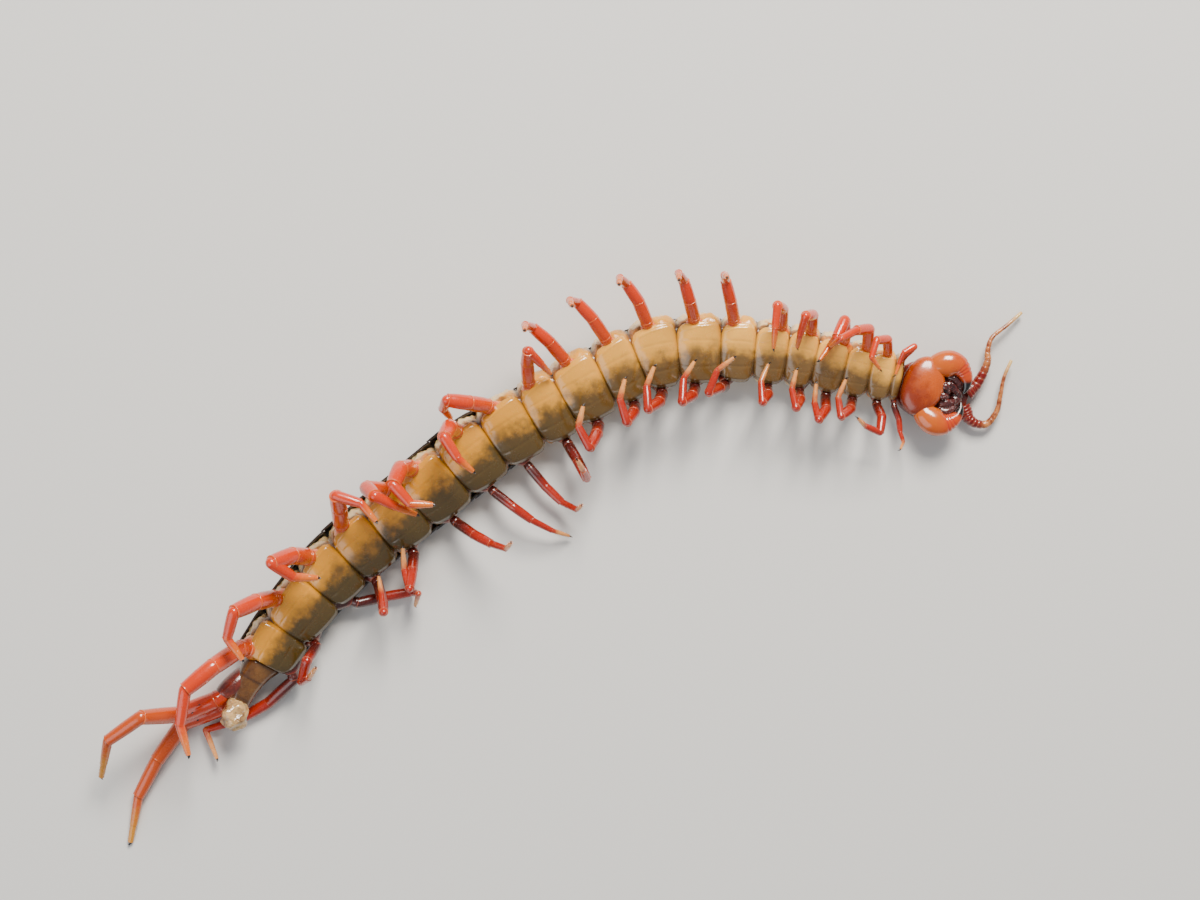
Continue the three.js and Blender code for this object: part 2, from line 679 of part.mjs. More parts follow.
const trunkEnd = spine.getPointAt(Math.min(TRUNK_END / SPINE_LENGTH, 1));
const tailPlace = groundFrame(trunkEnd, TAIL_HEADING, -90);
const tailBody = loft(
  TAIL_RINGS.map(([back, right, up, halfWidth, halfHeight]) =>
    roundedRing(
      (u, w) => tailPlace(back, right + u, Math.max(up + w, 0)),
      16,
      halfWidth,
      halfHeight,
      TAIL_ROLL,
      0.8,
    ),
  ),
);
const tailParts = [tailBody];
for (const [name, flank, pose] of [
  ["right", RIGHT_TAIL_FLANK, RIGHT_TAIL_LEG],
  ["left", LEFT_TAIL_FLANK, LEFT_TAIL_LEG],
]) {
  const from = tailPlace(...flank.from);
  const to = tailPlace(...flank.to);
  const axis = to.clone().sub(from).normalize();
  const faceAxis = axis.clone().add(direction(pose[0], pose[1])).normalize();
  const half = from.clone().lerp(to, 0.5);
  tailParts.push(
    tube(
      [
        { at: from, axis, radius: flank.radii[0] },
        { at: half, axis, radius: flank.radii[1] },
        { at: to, axis: faceAxis, radius: flank.radii[2] },
      ],
      8,
    ),
  );
  const seat = { at: to.clone().addScaledVector(faceAxis, -COXA_LENGTH), axis: faceAxis, scale: 1 };
  addNode(
    `leg_${name}_21`,
    leg(seat, pose, TAIL_LEG_LENGTH, TAIL_LEG_SHARES, TAIL_LEG_RADIUS, TAIL_LEG_TAPER),
    COLOURS.tailLeg,
  );
}
tailParts.push(ellipsoid(tailPlace(...VENT_CENTRE), VENT_SIZE, TAIL_HEADING));
addNode("tail_end", joined(tailParts), COLOURS.tail);

export default model;
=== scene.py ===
# %% [markdown]
# # A giant centipede on its back
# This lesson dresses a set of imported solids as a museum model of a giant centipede. The animal
# lies on its back, its legs curled over its belly plates, and it is seen from straight above.
# Every length below is in millimetres until it goes into a mesh, because the animal is small
# and its parts are easier to think about that way. Headings turn from +X towards +Y.

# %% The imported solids
import json

import bmesh
import bpy
import numpy as np
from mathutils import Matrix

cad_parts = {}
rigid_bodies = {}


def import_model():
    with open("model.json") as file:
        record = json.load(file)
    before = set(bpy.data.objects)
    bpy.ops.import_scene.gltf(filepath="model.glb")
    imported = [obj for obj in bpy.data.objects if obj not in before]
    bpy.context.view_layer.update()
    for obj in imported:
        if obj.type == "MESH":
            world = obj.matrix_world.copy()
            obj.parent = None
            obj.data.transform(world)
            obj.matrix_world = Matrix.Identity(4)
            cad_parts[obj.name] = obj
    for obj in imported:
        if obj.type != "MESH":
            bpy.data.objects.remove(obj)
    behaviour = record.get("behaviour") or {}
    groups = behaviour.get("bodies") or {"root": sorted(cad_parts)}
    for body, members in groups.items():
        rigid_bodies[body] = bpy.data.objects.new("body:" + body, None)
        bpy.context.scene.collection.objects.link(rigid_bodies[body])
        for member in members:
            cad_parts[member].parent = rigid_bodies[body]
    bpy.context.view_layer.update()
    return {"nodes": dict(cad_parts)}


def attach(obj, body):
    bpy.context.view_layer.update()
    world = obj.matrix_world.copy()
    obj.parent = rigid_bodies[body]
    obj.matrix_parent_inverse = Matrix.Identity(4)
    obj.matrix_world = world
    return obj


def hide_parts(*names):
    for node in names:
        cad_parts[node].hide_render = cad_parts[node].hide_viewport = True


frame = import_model()
MM = 0.001
print("solid nodes:", len(frame["nodes"]))

# %% [markdown]
# ## The camera
# The view is straight down, so the camera needs no turn at all: an unturned camera looks down
# and keeps +Y at the top. It stands 400 mm above the legs, as a telephone held over the animal
# would, and its lens is worked out from the width that the picture takes in at that distance.

# %% Camera
CAMERA_PLACE = (6.19, 18.4, 404.0)
VIEW_DISTANCE = 400.0
VIEW_WIDTH = 206.4
SENSOR_WIDTH = 36.0
NEAREST_VIEW = 0.01

scene = bpy.context.scene
camera_data = bpy.data.cameras.new("camera")
camera_data.sensor_width = SENSOR_WIDTH
camera_data.lens = SENSOR_WIDTH * VIEW_DISTANCE / VIEW_WIDTH
camera_data.clip_start = NEAREST_VIEW
camera = bpy.data.objects.new("camera", camera_data)
camera.location = np.array(CAMERA_PLACE) * MM
scene.collection.objects.link(camera)
scene.camera = camera
print("lens:", round(camera_data.lens, 1))

# %% [markdown]
# ## From grids of points to meshes
# Nearly every piece here is a surface with two parameters: rows along the piece and columns
# around it. One helper joins such a grid with quads, and two more shut a tube or a plate into a
# skin. The pieces could be pulled out of boxes by hand instead, but a formula can be read,
# changed and run again. Numpy works on the whole grid at once, so no loop ever visits a single
# vertex. Each grid can carry marks, which are numbers on its points, such as how close a point
# is to a joint. The materials read them later to change colour along a leg or at the rim of a
# plate.

# %% Directions
UP = np.array([0.0, 0.0, 1.0])


def unit(vectors):
    """The same directions at length one."""
    return vectors / np.linalg.norm(vectors, axis=-1, keepdims=True)


def direction(heading, rise):
    """Unit vector from a heading on the floor and a rise above it, both in degrees."""
    h, r = np.radians(heading), np.radians(rise)
    return np.stack([np.cos(h) * np.cos(r), np.sin(h) * np.cos(r), np.sin(r) + 0 * h], axis=-1)


def around(count):
    """Angles of that many equal steps round a full turn."""
    return np.linspace(0, 2 * np.pi, count, endpoint=False)


# %% Skins from grids
def joined_rings(rings, marks):
    """Points, quads and marks of closed rings (rows, columns, 3), each joined to the next."""
    rows, columns = rings.shape[:2]
    i = np.arange(rows - 1)[:, None] * columns
    j = np.arange(columns)[None, :]
    k = (j + 1) % columns
    quads = np.stack([i + j, i + k, i + columns + k, i + columns + j], axis=-1).reshape(-1, 4)
    return rings.reshape(-1, 3), quads, {key: value.ravel() for key, value in marks.items()}


def with_ends(grid):
    """The grid with its first and its last row doubled, for the rings that shut a skin."""
    return np.concatenate([grid[:1], grid, grid[-1:]])


def there_and_back(first, second):
    """Rows that run along the first grid and return along the second."""
    return np.concatenate([first, second[:, ::-1]], axis=1)


def tube_skin(rings, **marks):
    """Closed skin over rings of points (rows, columns, 3): both end rings shrink to their own
    middle so that the skin is shut. Rings turn right-handed about the way along. Marks are
    grids of (rows, columns), or a single row or column of one."""
    ends = [np.broadcast_to(ring.mean(0), ring.shape)[None] for ring in (rings[0], rings[-1])]
    spread = {key: with_ends(np.broadcast_to(value, rings.shape[:2])) for key, value in marks.items()}
    return joined_rings(np.concatenate([ends[0], rings, ends[1]]), spread)


def plate_skin(outer, inner, **marks):
    """Closed plate between an outer and an inner grid of the same size: each ring runs over the
    outer row and back along the inner row, and at both ends the two rows meet halfway."""
    middle = (outer + inner)[[0, -1]] / 2
    shut = there_and_back(middle, middle)
    rings = np.concatenate([shut[:1], there_and_back(outer, inner), shut[1:]])
    grids = {key: np.broadcast_to(value, outer.shape[:2]) for key, value in marks.items()}
    return joined_rings(rings, {key: with_ends(there_and_back(grid, grid)) for key, grid in grids.items()})


# %% A finished piece from skins
WELD = 1e-6
FLOOR_CLEARANCE = 0.02


def make_piece(name, skins, material, nodes=()):
    """One object from several skins: points in millimetres become metres, points that fall on
    each other are welded so that poles and rims close, and faces are turned outwards."""
    marks = sorted({key for _, _, spread in skins for key in spread})
    counts = [len(points) for points, _, _ in skins]
    starts = np.concatenate([[0], np.cumsum(counts)[:-1]])
    points = np.concatenate([skin[0] for skin in skins])
    points = np.column_stack([points[:, :2], np.maximum(points[:, 2], FLOOR_CLEARANCE)])
    faces = [face for skin, start in zip(skins, starts) for face in (skin[1] + start).tolist()]
    mesh = bpy.data.meshes.new(name)
    mesh.from_pydata(points * MM, [], faces)
    for key in marks:
        values = [skin[2].get(key, np.zeros(count)) for skin, count in zip(skins, counts)]
        mark = mesh.attributes.new(key, "FLOAT", "POINT")
        mark.data.foreach_set("value", np.concatenate(values).astype(np.float32))
    body = bmesh.new()
    body.from_mesh(mesh)
    bmesh.ops.remove_doubles(body, verts=body.verts, dist=WELD)
    bmesh.ops.dissolve_degenerate(body, edges=body.edges, dist=WELD)
    bmesh.ops.recalc_face_normals(body, faces=body.faces)
    body.to_mesh(mesh)
    body.free()
    mesh.polygons.foreach_set("use_smooth", np.ones(len(mesh.polygons), dtype=bool))
    mesh.materials.append(material)
    piece = bpy.data.objects.new(name, mesh)
    scene.collection.objects.link(piece)
    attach(piece, "root")
    if nodes:
        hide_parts(*nodes)
    return piece


# %% [markdown]
# ## Shared finishes
# The whole animal wears one kind of stuff, horn: hard, glossy and a little cloudy, with pigment
# lying in soft blotches inside it. Two shader groups hold what all its materials share. One
# gives a blotchy mask from two sizes of noise, the other a fine relief of wrinkles and pits.
# Each material could hold its own copy of these nodes, but a group is built once and then placed
# with its own scale. Both read Object coordinates, which are metres on the animal itself, so the
# blotches keep their true size on every piece.

# %% Shader helpers
def feed(tree, socket, value):
    """Links a socket to the output that feeds it, or sets it to a plain value."""
    if isinstance(value, bpy.types.NodeSocket):
        tree.links.new(value, socket)
    else:
        socket.default_value = value


def add(tree, kind, settings=None, **sockets):
    """Adds a node. Settings are its own options, sockets are values or the outputs that feed it."""
    made = tree.nodes.new(kind)
    for key, value in (settings or {}).items():
        setattr(made, key, value)
    for key, value in sockets.items():
        feed(tree, made.inputs[key.replace("_", " ")], value)
    return made


def colour(red, green, blue):
    """Linear colour from the screen values 0 to 255 that a paint chart gives."""
    share = np.array([red, green, blue]) / 255
    linear = np.where(share <= 0.04045, share / 12.92, ((share + 0.055) / 1.055) ** 2.4)
    return (*linear.tolist(), 1.0)


# %% Steps that mix colours and numbers
COLOUR_MIX_INPUTS = (0, 6, 7)
COLOUR_MIX_OUTPUT = 2


def blend(tree, share, first, second):
    """Mixes two colours by a share and returns the colour. A mix node also has sockets for
    numbers and vectors, so the colour sockets are picked by their places in its lists."""
    made = add(tree, "ShaderNodeMix", {"data_type": "RGBA"})
    for place_in_list, value in zip(COLOUR_MIX_INPUTS, (share, first, second)):
        feed(tree, made.inputs[place_in_list], value)
    return made.outputs[COLOUR_MIX_OUTPUT]


def remap(tree, value, low, high, to_low=0.0, to_high=1.0):
    """Turns low to high into to_low to to_high with a smooth start and end, and no further."""
    made = add(tree, "ShaderNodeMapRange", {"interpolation_type": "SMOOTHSTEP"}, Value=value, From_Min=low,
               From_Max=high, To_Min=to_low, To_Max=to_high)
    return made.outputs["Result"]


def mark_of(tree, name):
    """The number that a piece carries on its points under this name."""
    return add(tree, "ShaderNodeAttribute", {"attribute_name": name}).outputs["Fac"]


def combine(tree, operation, first, second):
    """Result of one sum on two numbers."""
    made = add(tree, "ShaderNodeMath", {"operation": operation})
    feed(tree, made.inputs[0], first)
    feed(tree, made.inputs[1], second)
    return made.outputs[0]


def tint(tree, base, mask, strength, pigment):
    """Lays a pigment over a base colour where a mask is 1, up to that strength."""
    return blend(tree, combine(tree, "MULTIPLY", mask, strength), base, pigment)


# %% The blotch group and the relief group
def start_group(name, inputs, output):
    """A shader group with named number inputs beside Vector, and one number output."""
    group = bpy.data.node_groups.new(name, "ShaderNodeTree")
    group.interface.new_socket("Vector", in_out="INPUT", socket_type="NodeSocketVector")
    for key, value in inputs.items():
        socket = group.interface.new_socket(key, in_out="INPUT", socket_type="NodeSocketFloat")
        socket.default_value = value
    group.interface.new_socket(output, in_out="OUTPUT", socket_type="NodeSocketFloat")
    return group, group.nodes.new("NodeGroupInput"), group.nodes.new("NodeGroupOutput")


BROAD_SHARE = 0.72
FINE_SHARE = 0.28
FINER = 4.3
blotches, inside, outside = start_group(
    "pigment_blotches", {"Scale": 300.0, "Low": 0.4, "High": 0.62}, "Mask")
broad = add(blotches, "ShaderNodeTexNoise", Vector=inside.outputs["Vector"], Scale=inside.outputs["Scale"],
            Detail=4.0, Roughness=0.62)
specks = add(blotches, "ShaderNodeTexNoise", Vector=inside.outputs["Vector"],
             Scale=combine(blotches, "MULTIPLY", inside.outputs["Scale"], FINER), Detail=2.0)
sum_of_both = combine(blotches, "ADD", combine(blotches, "MULTIPLY", broad.outputs["Fac"], BROAD_SHARE),
                      combine(blotches, "MULTIPLY", specks.outputs["Fac"], FINE_SHARE))
mask = add(blotches, "ShaderNodeMapRange", Value=sum_of_both, From_Min=inside.outputs["Low"],
           From_Max=inside.outputs["High"])
blotches.links.new(mask.outputs["Result"], outside.inputs["Mask"])

PITS_TO_WRINKLES = 2.6
relief, inside, outside = start_group("horn_relief", {"Scale": 900.0, "Pits": 0.3}, "Height")
wrinkles = add(relief, "ShaderNodeTexNoise", Vector=inside.outputs["Vector"], Scale=inside.outputs["Scale"],
               Detail=3.0, Roughness=0.5)
pits = add(relief, "ShaderNodeTexVoronoi", Vector=inside.outputs["Vector"],
           Scale=combine(relief, "MULTIPLY", inside.outputs["Scale"], PITS_TO_WRINKLES))
pit_floor = remap(relief, pits.outputs["Distance"], 0.0, 0.4)
pit_depth = combine(relief, "MULTIPLY", pit_floor, inside.outputs["Pits"])
relief.links.new(combine(relief, "ADD", wrinkles.outputs["Fac"], pit_depth), outside.inputs["Height"])
print("shader groups:", [group.name for group in bpy.data.node_groups])

# %% A glossy horn finish
COAT_ROUGHNESS = 0.12
GLOW_TINT = (1.0, 0.45, 0.2)
GLOW_DEPTH = 0.0012
GLOSS_SPREAD = 0.16


def start_finish(name):
    """A material with its tree, its shader and the Object coordinates that its groups read."""
    material = bpy.data.materials.new(name)
    material.use_nodes = True
    tree = material.node_tree
    return material, tree, tree.nodes["Principled BSDF"], add(tree, "ShaderNodeTexCoord").outputs["Object"]


def group_node(tree, group, place, **values):
    """Places a shared group in a material with its own values."""
    return add(tree, "ShaderNodeGroup", {"node_tree": group}, Vector=place, **values).outputs[0]


def blotch_mask(tree, place, scale, low, high):
    """Mask of pigment blotches of that fineness: 0 where the noise is below low, 1 above high."""
    return group_node(tree, blotches, place, Scale=scale, Low=low, High=high)


def wander(tree, mark, mask, reach):
    """A mark moved up or down by the reach where blotches lie, so that no border runs straight."""
    return combine(tree, "ADD", mark, remap(tree, mask, 0.0, 1.0, -reach, reach))


def finish_horn(tree, shader, place, base, gloss, wrinkle, relief_scale, depth, coat, glow):
    """Wires base colour, an uneven gloss, the relief and a clear coat into the shader. Wrinkle is
    the strength of the relief and depth its height in metres; glow is light that wanders inside."""
    tree.links.new(base, shader.inputs["Base Color"])
    uneven = blotch_mask(tree, place, 700.0, 0.35, 0.65)
    tree.links.new(remap(tree, uneven, 0.0, 1.0, gloss, gloss + GLOSS_SPREAD), shader.inputs["Roughness"])
    height = group_node(tree, relief, place, Scale=relief_scale, Pits=0.25)
    bump = add(tree, "ShaderNodeBump", Strength=wrinkle, Distance=depth, Height=height)
    tree.links.new(bump.outputs["Normal"], shader.inputs["Normal"])
    shader.inputs["Coat Weight"].default_value = coat
    shader.inputs["Coat Roughness"].default_value = COAT_ROUGHNESS
    shader.inputs["Subsurface Weight"].default_value = glow
    shader.inputs["Subsurface Radius"].default_value = GLOW_TINT
    shader.inputs["Subsurface Scale"].default_value = GLOW_DEPTH


def mottled_finish(name, light, dark, scale, low, high, **horn):
    """A finish of two colours in blotches, for pieces that need no more."""
    material, tree, shader, place = start_finish(name)
    mottled = blend(tree, blotch_mask(tree, place, scale, low, high), light, dark)
    finish_horn(tree, shader, place, mottled, **horn)
    return material


# %% [markdown]
# ## The line of the body
# The body bends in one slack curve. It could be drawn by hand as a curve object, but a line of
# numbers can be asked for any place on it. Twelve places on the belly's middle line fix it, and
# a Catmull-Rom curve runs through them: in each span it is a cubic whose slope at a point is
# half the step between that point's neighbours. The line is then measured along its length, so
# that "42 mm behind the neck" is a place that every plate and leg can ask for.

# %% Spine
SPINE_POINTS = [
    (57.8, 30.1), (48.9, 31.9), (40.4, 33.8), (28.4, 35.0), (16.4, 34.3), (7.6, 30.5),
    (-1.4, 25.6), (-12.8, 18.6), (-24.4, 9.2), (-37.4, -1.4), (-46.7, -12.1), (-51.6, -19.7),
]
SEGMENT_LENGTHS = np.array([
    1.4, 4.0, 4.4, 5.3, 4.9, 5.5, 5.8, 7.3, 6.8, 6.6, 7.7, 6.5, 7.8, 8.4, 8.5, 7.8, 7.2, 7.1, 8.9, 6.8,
])
SEGMENT_WIDTHS = np.array([
    8.9, 9.4, 10.1, 10.7, 11.5, 11.6, 12.1, 12.7, 13.0, 13.2, 13.2, 13.2, 13.1, 13.0, 12.8, 12.5, 12.3,
    12.0, 11.4, 10.6,
])
SEGMENTS = len(SEGMENT_LENGTHS)
SEGMENT_STARTS = np.concatenate([[0], np.cumsum(SEGMENT_LENGTHS)[:-1]])
TRUNK_END = SEGMENT_LENGTHS.sum()


def smooth_line(points, samples):
    """Catmull-Rom line: with f from 0 to 1 between two points, the cubic Hermite of both points
    and of half the step between the neighbours of each."""
    p = np.asarray(points, float)
    p = np.vstack([2 * p[0] - p[1], p, 2 * p[-1] - p[-2]])
    t = np.linspace(0, len(p) - 3, samples)
    i = np.minimum(t.astype(int), len(p) - 4)
    f = (t - i)[:, None]
    slope_in, slope_out = (p[i + 2] - p[i]) / 2, (p[i + 3] - p[i + 1]) / 2
    return (
        (2 * f**3 - 3 * f**2 + 1) * p[i + 1]
        + (f**3 - 2 * f**2 + f) * slope_in
        + (3 * f**2 - 2 * f**3) * p[i + 2]
        + (f**3 - f**2) * slope_out
    )


spine_line = smooth_line(SPINE_POINTS, 4000)
spine_way = unit(np.gradient(spine_line, axis=0))
spine_run = np.concatenate([[0], np.cumsum(np.linalg.norm(np.diff(spine_line, axis=0), axis=1))])
print("length of the spine:", round(float(spine_run[-1]), 1), "mm")

# %% [markdown]
# ## Places in the trunk
# A trunk segment is a low box with rounded corners, about twice as wide as it is high. A place
# in its section is given as so much across, towards the animal's right, and so much up, towards
# the belly. The whole section is rolled by 15 degrees, because the animal has slumped to one
# side, and that brings the right flank into view from above. Each piece could be built straight
# and bent afterwards, but asking for bent places from the start needs no second step.

# %% Section places
SECTION_WIDTH = 11.2
AXIS_HEIGHT = 3.42
BELLY_HEIGHT = 3.3
HEIGHT_FOLLOWS_WIDTH = 0.5
ROLL = np.radians(15)


def at_run(run, table):
    """Values of a table on the spine, column by column, at distances along it."""
    return np.stack([np.interp(run, spine_run, table[:, c]) for c in (0, 1)], axis=-1)


def trunk_scale(run):
    """Width and height of the trunk at a distance, against the section that is 11.2 mm wide."""
    middles = SEGMENT_STARTS + SEGMENT_LENGTHS / 2
    wide = np.interp(run, middles, SEGMENT_WIDTHS) / SECTION_WIDTH
    return wide, 1 + (wide - 1) * HEIGHT_FOLLOWS_WIDTH


def trunk_frame(run):
    """Axis point, the direction to the right flank and the direction of the belly."""
    wide, high = trunk_scale(run)
    back = unit(at_run(run, spine_way))
    right = np.stack([back[..., 1], -back[..., 0], 0 * wide], axis=-1)
    axis = np.concatenate([at_run(run, spine_line), 0 * wide[..., None]], axis=-1)
    axis = axis + right * (high * BELLY_HEIGHT * np.sin(ROLL))[..., None]
    axis = axis + UP * (high * AXIS_HEIGHT)[..., None]
    aside = right * np.cos(ROLL) + UP * np.sin(ROLL)
    belly = -right * np.sin(ROLL) + UP * np.cos(ROLL)
    return axis, aside, belly


def trunk_place(run, across, up):
    """Point of the rolled section: axis + right x across x width + belly x up x height."""
    run, across, up = np.broadcast_arrays(np.asarray(run, float), across, up)
    wide, high = trunk_scale(run)
    axis, aside, belly = trunk_frame(run)
    return axis + aside * (across * wide)[..., None] + belly * (up * high)[..., None]


def bump_at(x, centre, width):
    """Bell curve: 1 at the centre, and nearly 0 two widths away."""
    return np.exp(-(((x - centre) / width) ** 2))


def ease(x, low, high):
    """Smooth step: 0 below low, 1 above high, 3t^2 - 2t^3 between."""
    t = np.clip((x - low) / (high - low), 0, 1)
    return t * t * (3 - 2 * t)


# %% [markdown]
# ## Soft skin
# Between the hard plates the animal is wrapped in soft skin: amber beside the belly plates, then
# cream and folded out on the flanks, and brown in the joints. It could be sculpted segment by
# segment, but one long tube has no seams. Its outline comes from a few places around the
# section. It swells over the middle of every segment and draws in at the joints, so the body
# looks like a row of small barrels, and slow waves along it lift the flanks into folds. Amber
# pads swell before the front right legs, and a small dark breathing hole lies behind some legs.

# %% Skin finish
CREAM = colour(232, 198, 142)
SKIN_AMBER = colour(206, 128, 44)
SKIN_OLIVE = colour(104, 72, 30)
JOINT_BROWN = colour(64, 32, 12)
PAD_AMBER = colour(232, 164, 54)
HOLE_BROWN = colour(34, 16, 8)

skin_finish, tree, shader, place = start_finish("soft_skin")
folds = blotch_mask(tree, place, 320.0, 0.4, 0.6)
near_plate = blend(tree, folds, SKIN_AMBER, SKIN_OLIVE)
on_flank = remap(tree, wander(tree, mark_of(tree, "flank"), folds, 0.25), 0.45, 0.85)
skin_colour = blend(tree, on_flank, near_plate, CREAM)
skin_colour = blend(tree, remap(tree, mark_of(tree, "along"), 0.55, 0.95, 0.0, 0.6), skin_colour, SKIN_OLIVE)
skin_colour = blend(tree, remap(tree, mark_of(tree, "pad"), 0.25, 0.7), skin_colour, PAD_AMBER)
skin_colour = tint(tree, skin_colour, mark_of(tree, "joint"), 0.9, JOINT_BROWN)
skin_colour = blend(tree, remap(tree, mark_of(tree, "hole"), 0.25, 0.6), skin_colour, HOLE_BROWN)
finish_horn(tree, shader, place, skin_colour, gloss=0.22, wrinkle=0.6, relief_scale=520.0, depth=0.0002,
            coat=0.4, glow=0.25)


# %% Skin
SKIN_OUTLINE = np.array([
    (0, 2.95), (2.2, 2.9), (3.7, 2.6), (4.6, 1.9), (5.05, 0.6), (5.1, -0.6), (4.9, -1.6), (4.2, -2.4),
    (2.4, -2.95), (0, -3.05),
])
SKIN_ROWS = 461
SKIN_COLUMNS = 112
SKIN_INSET = 0.1
JOINT_REACH = 0.3
BREATHING_SEGMENTS = [2, 4, 7, 9, 11, 13, 15, 17, 19]


def outline_ring(half, count):
    """Closed outline through mirrored places, as a Catmull-Rom line that meets its own start."""
    whole = np.vstack([half, half[-2:0:-1] * [-1, 1]])
    padded = np.vstack([whole[-1:], whole, whole[:2]])
    fine = smooth_line(padded, (len(padded) - 1) * 40 + 1)[40:-40]
    places = np.linspace(0, len(fine) - 1, count, endpoint=False)
    return np.stack([np.interp(places, np.arange(len(fine)), fine[:, c]) for c in (0, 1)], axis=-1)


def in_segment(run):
    """Which segment a distance lies in, and its share of the way along that segment."""
    segment = np.clip(np.searchsorted(SEGMENT_STARTS, run, side="right") - 1, 0, SEGMENTS - 1)
    return segment, np.clip((run - SEGMENT_STARTS[segment]) / SEGMENT_LENGTHS[segment], 0, 1)


def skin_surface():
    """Skin at (run, turn): the outline, times 1.04 - 0.17 |2s - 1|^3 on the flanks with s the share
    of the way along a segment, plus folds sin(run), less a bell-shaped pinch at every joint. On
    the front of the body a round pad swells on the right flank before every leg. Behind the legs
    of nine segments a small oval breathing hole sinks into each flank."""
    run = np.linspace(SKIN_INSET, TRUNK_END - SKIN_INSET, SKIN_ROWS)[:, None]
    ring = outline_ring(SKIN_OUTLINE, SKIN_COLUMNS)[None]
    across, up = ring[..., 0], ring[..., 1]
    flank = ease(np.abs(across), 3.4, 4.9)
    segment, s = in_segment(run)
    near = np.minimum(s, 1 - s) * SEGMENT_LENGTHS[segment]
    joint = np.exp(-((near / JOINT_REACH) ** 2))
    wave = np.sin(run * 2.1 + up * 1.6) * 0.016 + np.sin(run * 3.7 - up * 2.3) * 0.012
    barrel = 0.04 - 0.17 * np.abs(2 * s - 1) ** 3
    pad = bump_at(s, 0.24, 0.26) * ease(across, 3.2, 4.8) * ease(up, -0.6, 1.0) * ease(-run, -72, -64)
    frill = np.sin(run * 6.3 + 1.7 * up) * 0.012 * ease(across, 4.0, 5.0) * (1 - pad)
    hole = np.isin(segment, BREATHING_SEGMENTS) * bump_at(s, 0.6, 0.075) * bump_at(up, 0.9, 0.42) * flank
    swell = 1 + flank * (barrel + wave) - 0.05 * joint + 0.1 * pad + frill - 0.05 * hole
    points = trunk_place(run, across * swell, up * (1 + flank * wave - 0.05 * joint))
    out = ease(3.0 - up, 0.3, 2.6) * flank
    marks = {"joint": joint, "flank": out, "along": run / TRUNK_END, "pad": pad, "hole": hole}
    return tube_skin(points[:, ::-1], **{key: value[:, ::-1] for key, value in marks.items()})


TRUNK_NODES = [f"trunk_{part}" for part in range(1, 8)]
trunk_skin = make_piece("trunk_skin", [skin_surface()], skin_finish, TRUNK_NODES)
print("faces of the skin:", len(trunk_skin.data.polygons))

# %% [markdown]
# ## Belly plates
# Each segment carries one belly plate, a glossy shield of amber horn that arches between its
# joints. It is widest in front, and its rear rim slides a little over the next plate, so only a
# thin dark line shows at a joint. Two shallow grooves run along it. A flat sheet with a Solidify
# modifier would give a plate too, but an outer and an inner grid, shut at the rims, can be
# thinner at the edge. The horn is cloudy, with a darker patch where the gut shows through. Light
# and shade are painted into it as well: painted light makes it golden towards the raised right
# flank, and painted shade turns it olive brown towards the left, as the marks on its points tell.

# %% Belly plate finish
# The first two colours are the horn with painted light on it, the next two the same horn in painted shade;
# front and rear differ for real.
FRONT_PAINTED_LIGHT = colour(246, 180, 72)
FRONT_PAINTED_SHADE = colour(118, 88, 44)
REAR_PAINTED_LIGHT = colour(208, 140, 26)
REAR_PAINTED_SHADE = colour(70, 54, 20)
GUT_SHADE = colour(88, 64, 36)
RIM_BROWN = colour(70, 34, 10)

belly_finish, tree, shader, place = start_finish("belly_horn")
along, across_mark, rim, gut = (mark_of(tree, key) for key in ("along", "across", "rim", "gut"))
cloud = blotch_mask(tree, place, 170.0, 0.34, 0.68)
# Painted light and shade: the half towards the raised right flank takes the lit colours, the left half the
# shaded ones.
painted_light_share = remap(tree, wander(tree, across_mark, cloud, 0.25), -0.3, 0.42)
to_rear = remap(tree, along, 0.2, 0.75)
painted_light_horn = blend(tree, to_rear, FRONT_PAINTED_LIGHT, REAR_PAINTED_LIGHT)
painted_shade_horn = blend(tree, to_rear, FRONT_PAINTED_SHADE, REAR_PAINTED_SHADE)
horn = blend(tree, painted_light_share, painted_shade_horn, painted_light_horn)
smoke = blotch_mask(tree, place, 260.0, 0.36, 0.72)
horn = tint(tree, horn, combine(tree, "MULTIPLY", smoke, gut), 0.6, GUT_SHADE)
horn = tint(tree, horn, blotch_mask(tree, place, 900.0, 0.58, 0.76), 0.16, RIM_BROWN)
horn = tint(tree, horn, rim, 0.85, RIM_BROWN)
finish_horn(tree, shader, place, horn, gloss=0.14, wrinkle=0.22, relief_scale=300.0, depth=0.00028, coat=0.9,
            glow=0.1)


# %% Belly plates
PLATE_FRONT_HALF = 4.75
PLATE_REAR_HALF = 4.15
PLATE_THICKNESS = 0.45
PLATE_OVERLAP = 0.1
PLATE_BOW = 0.22


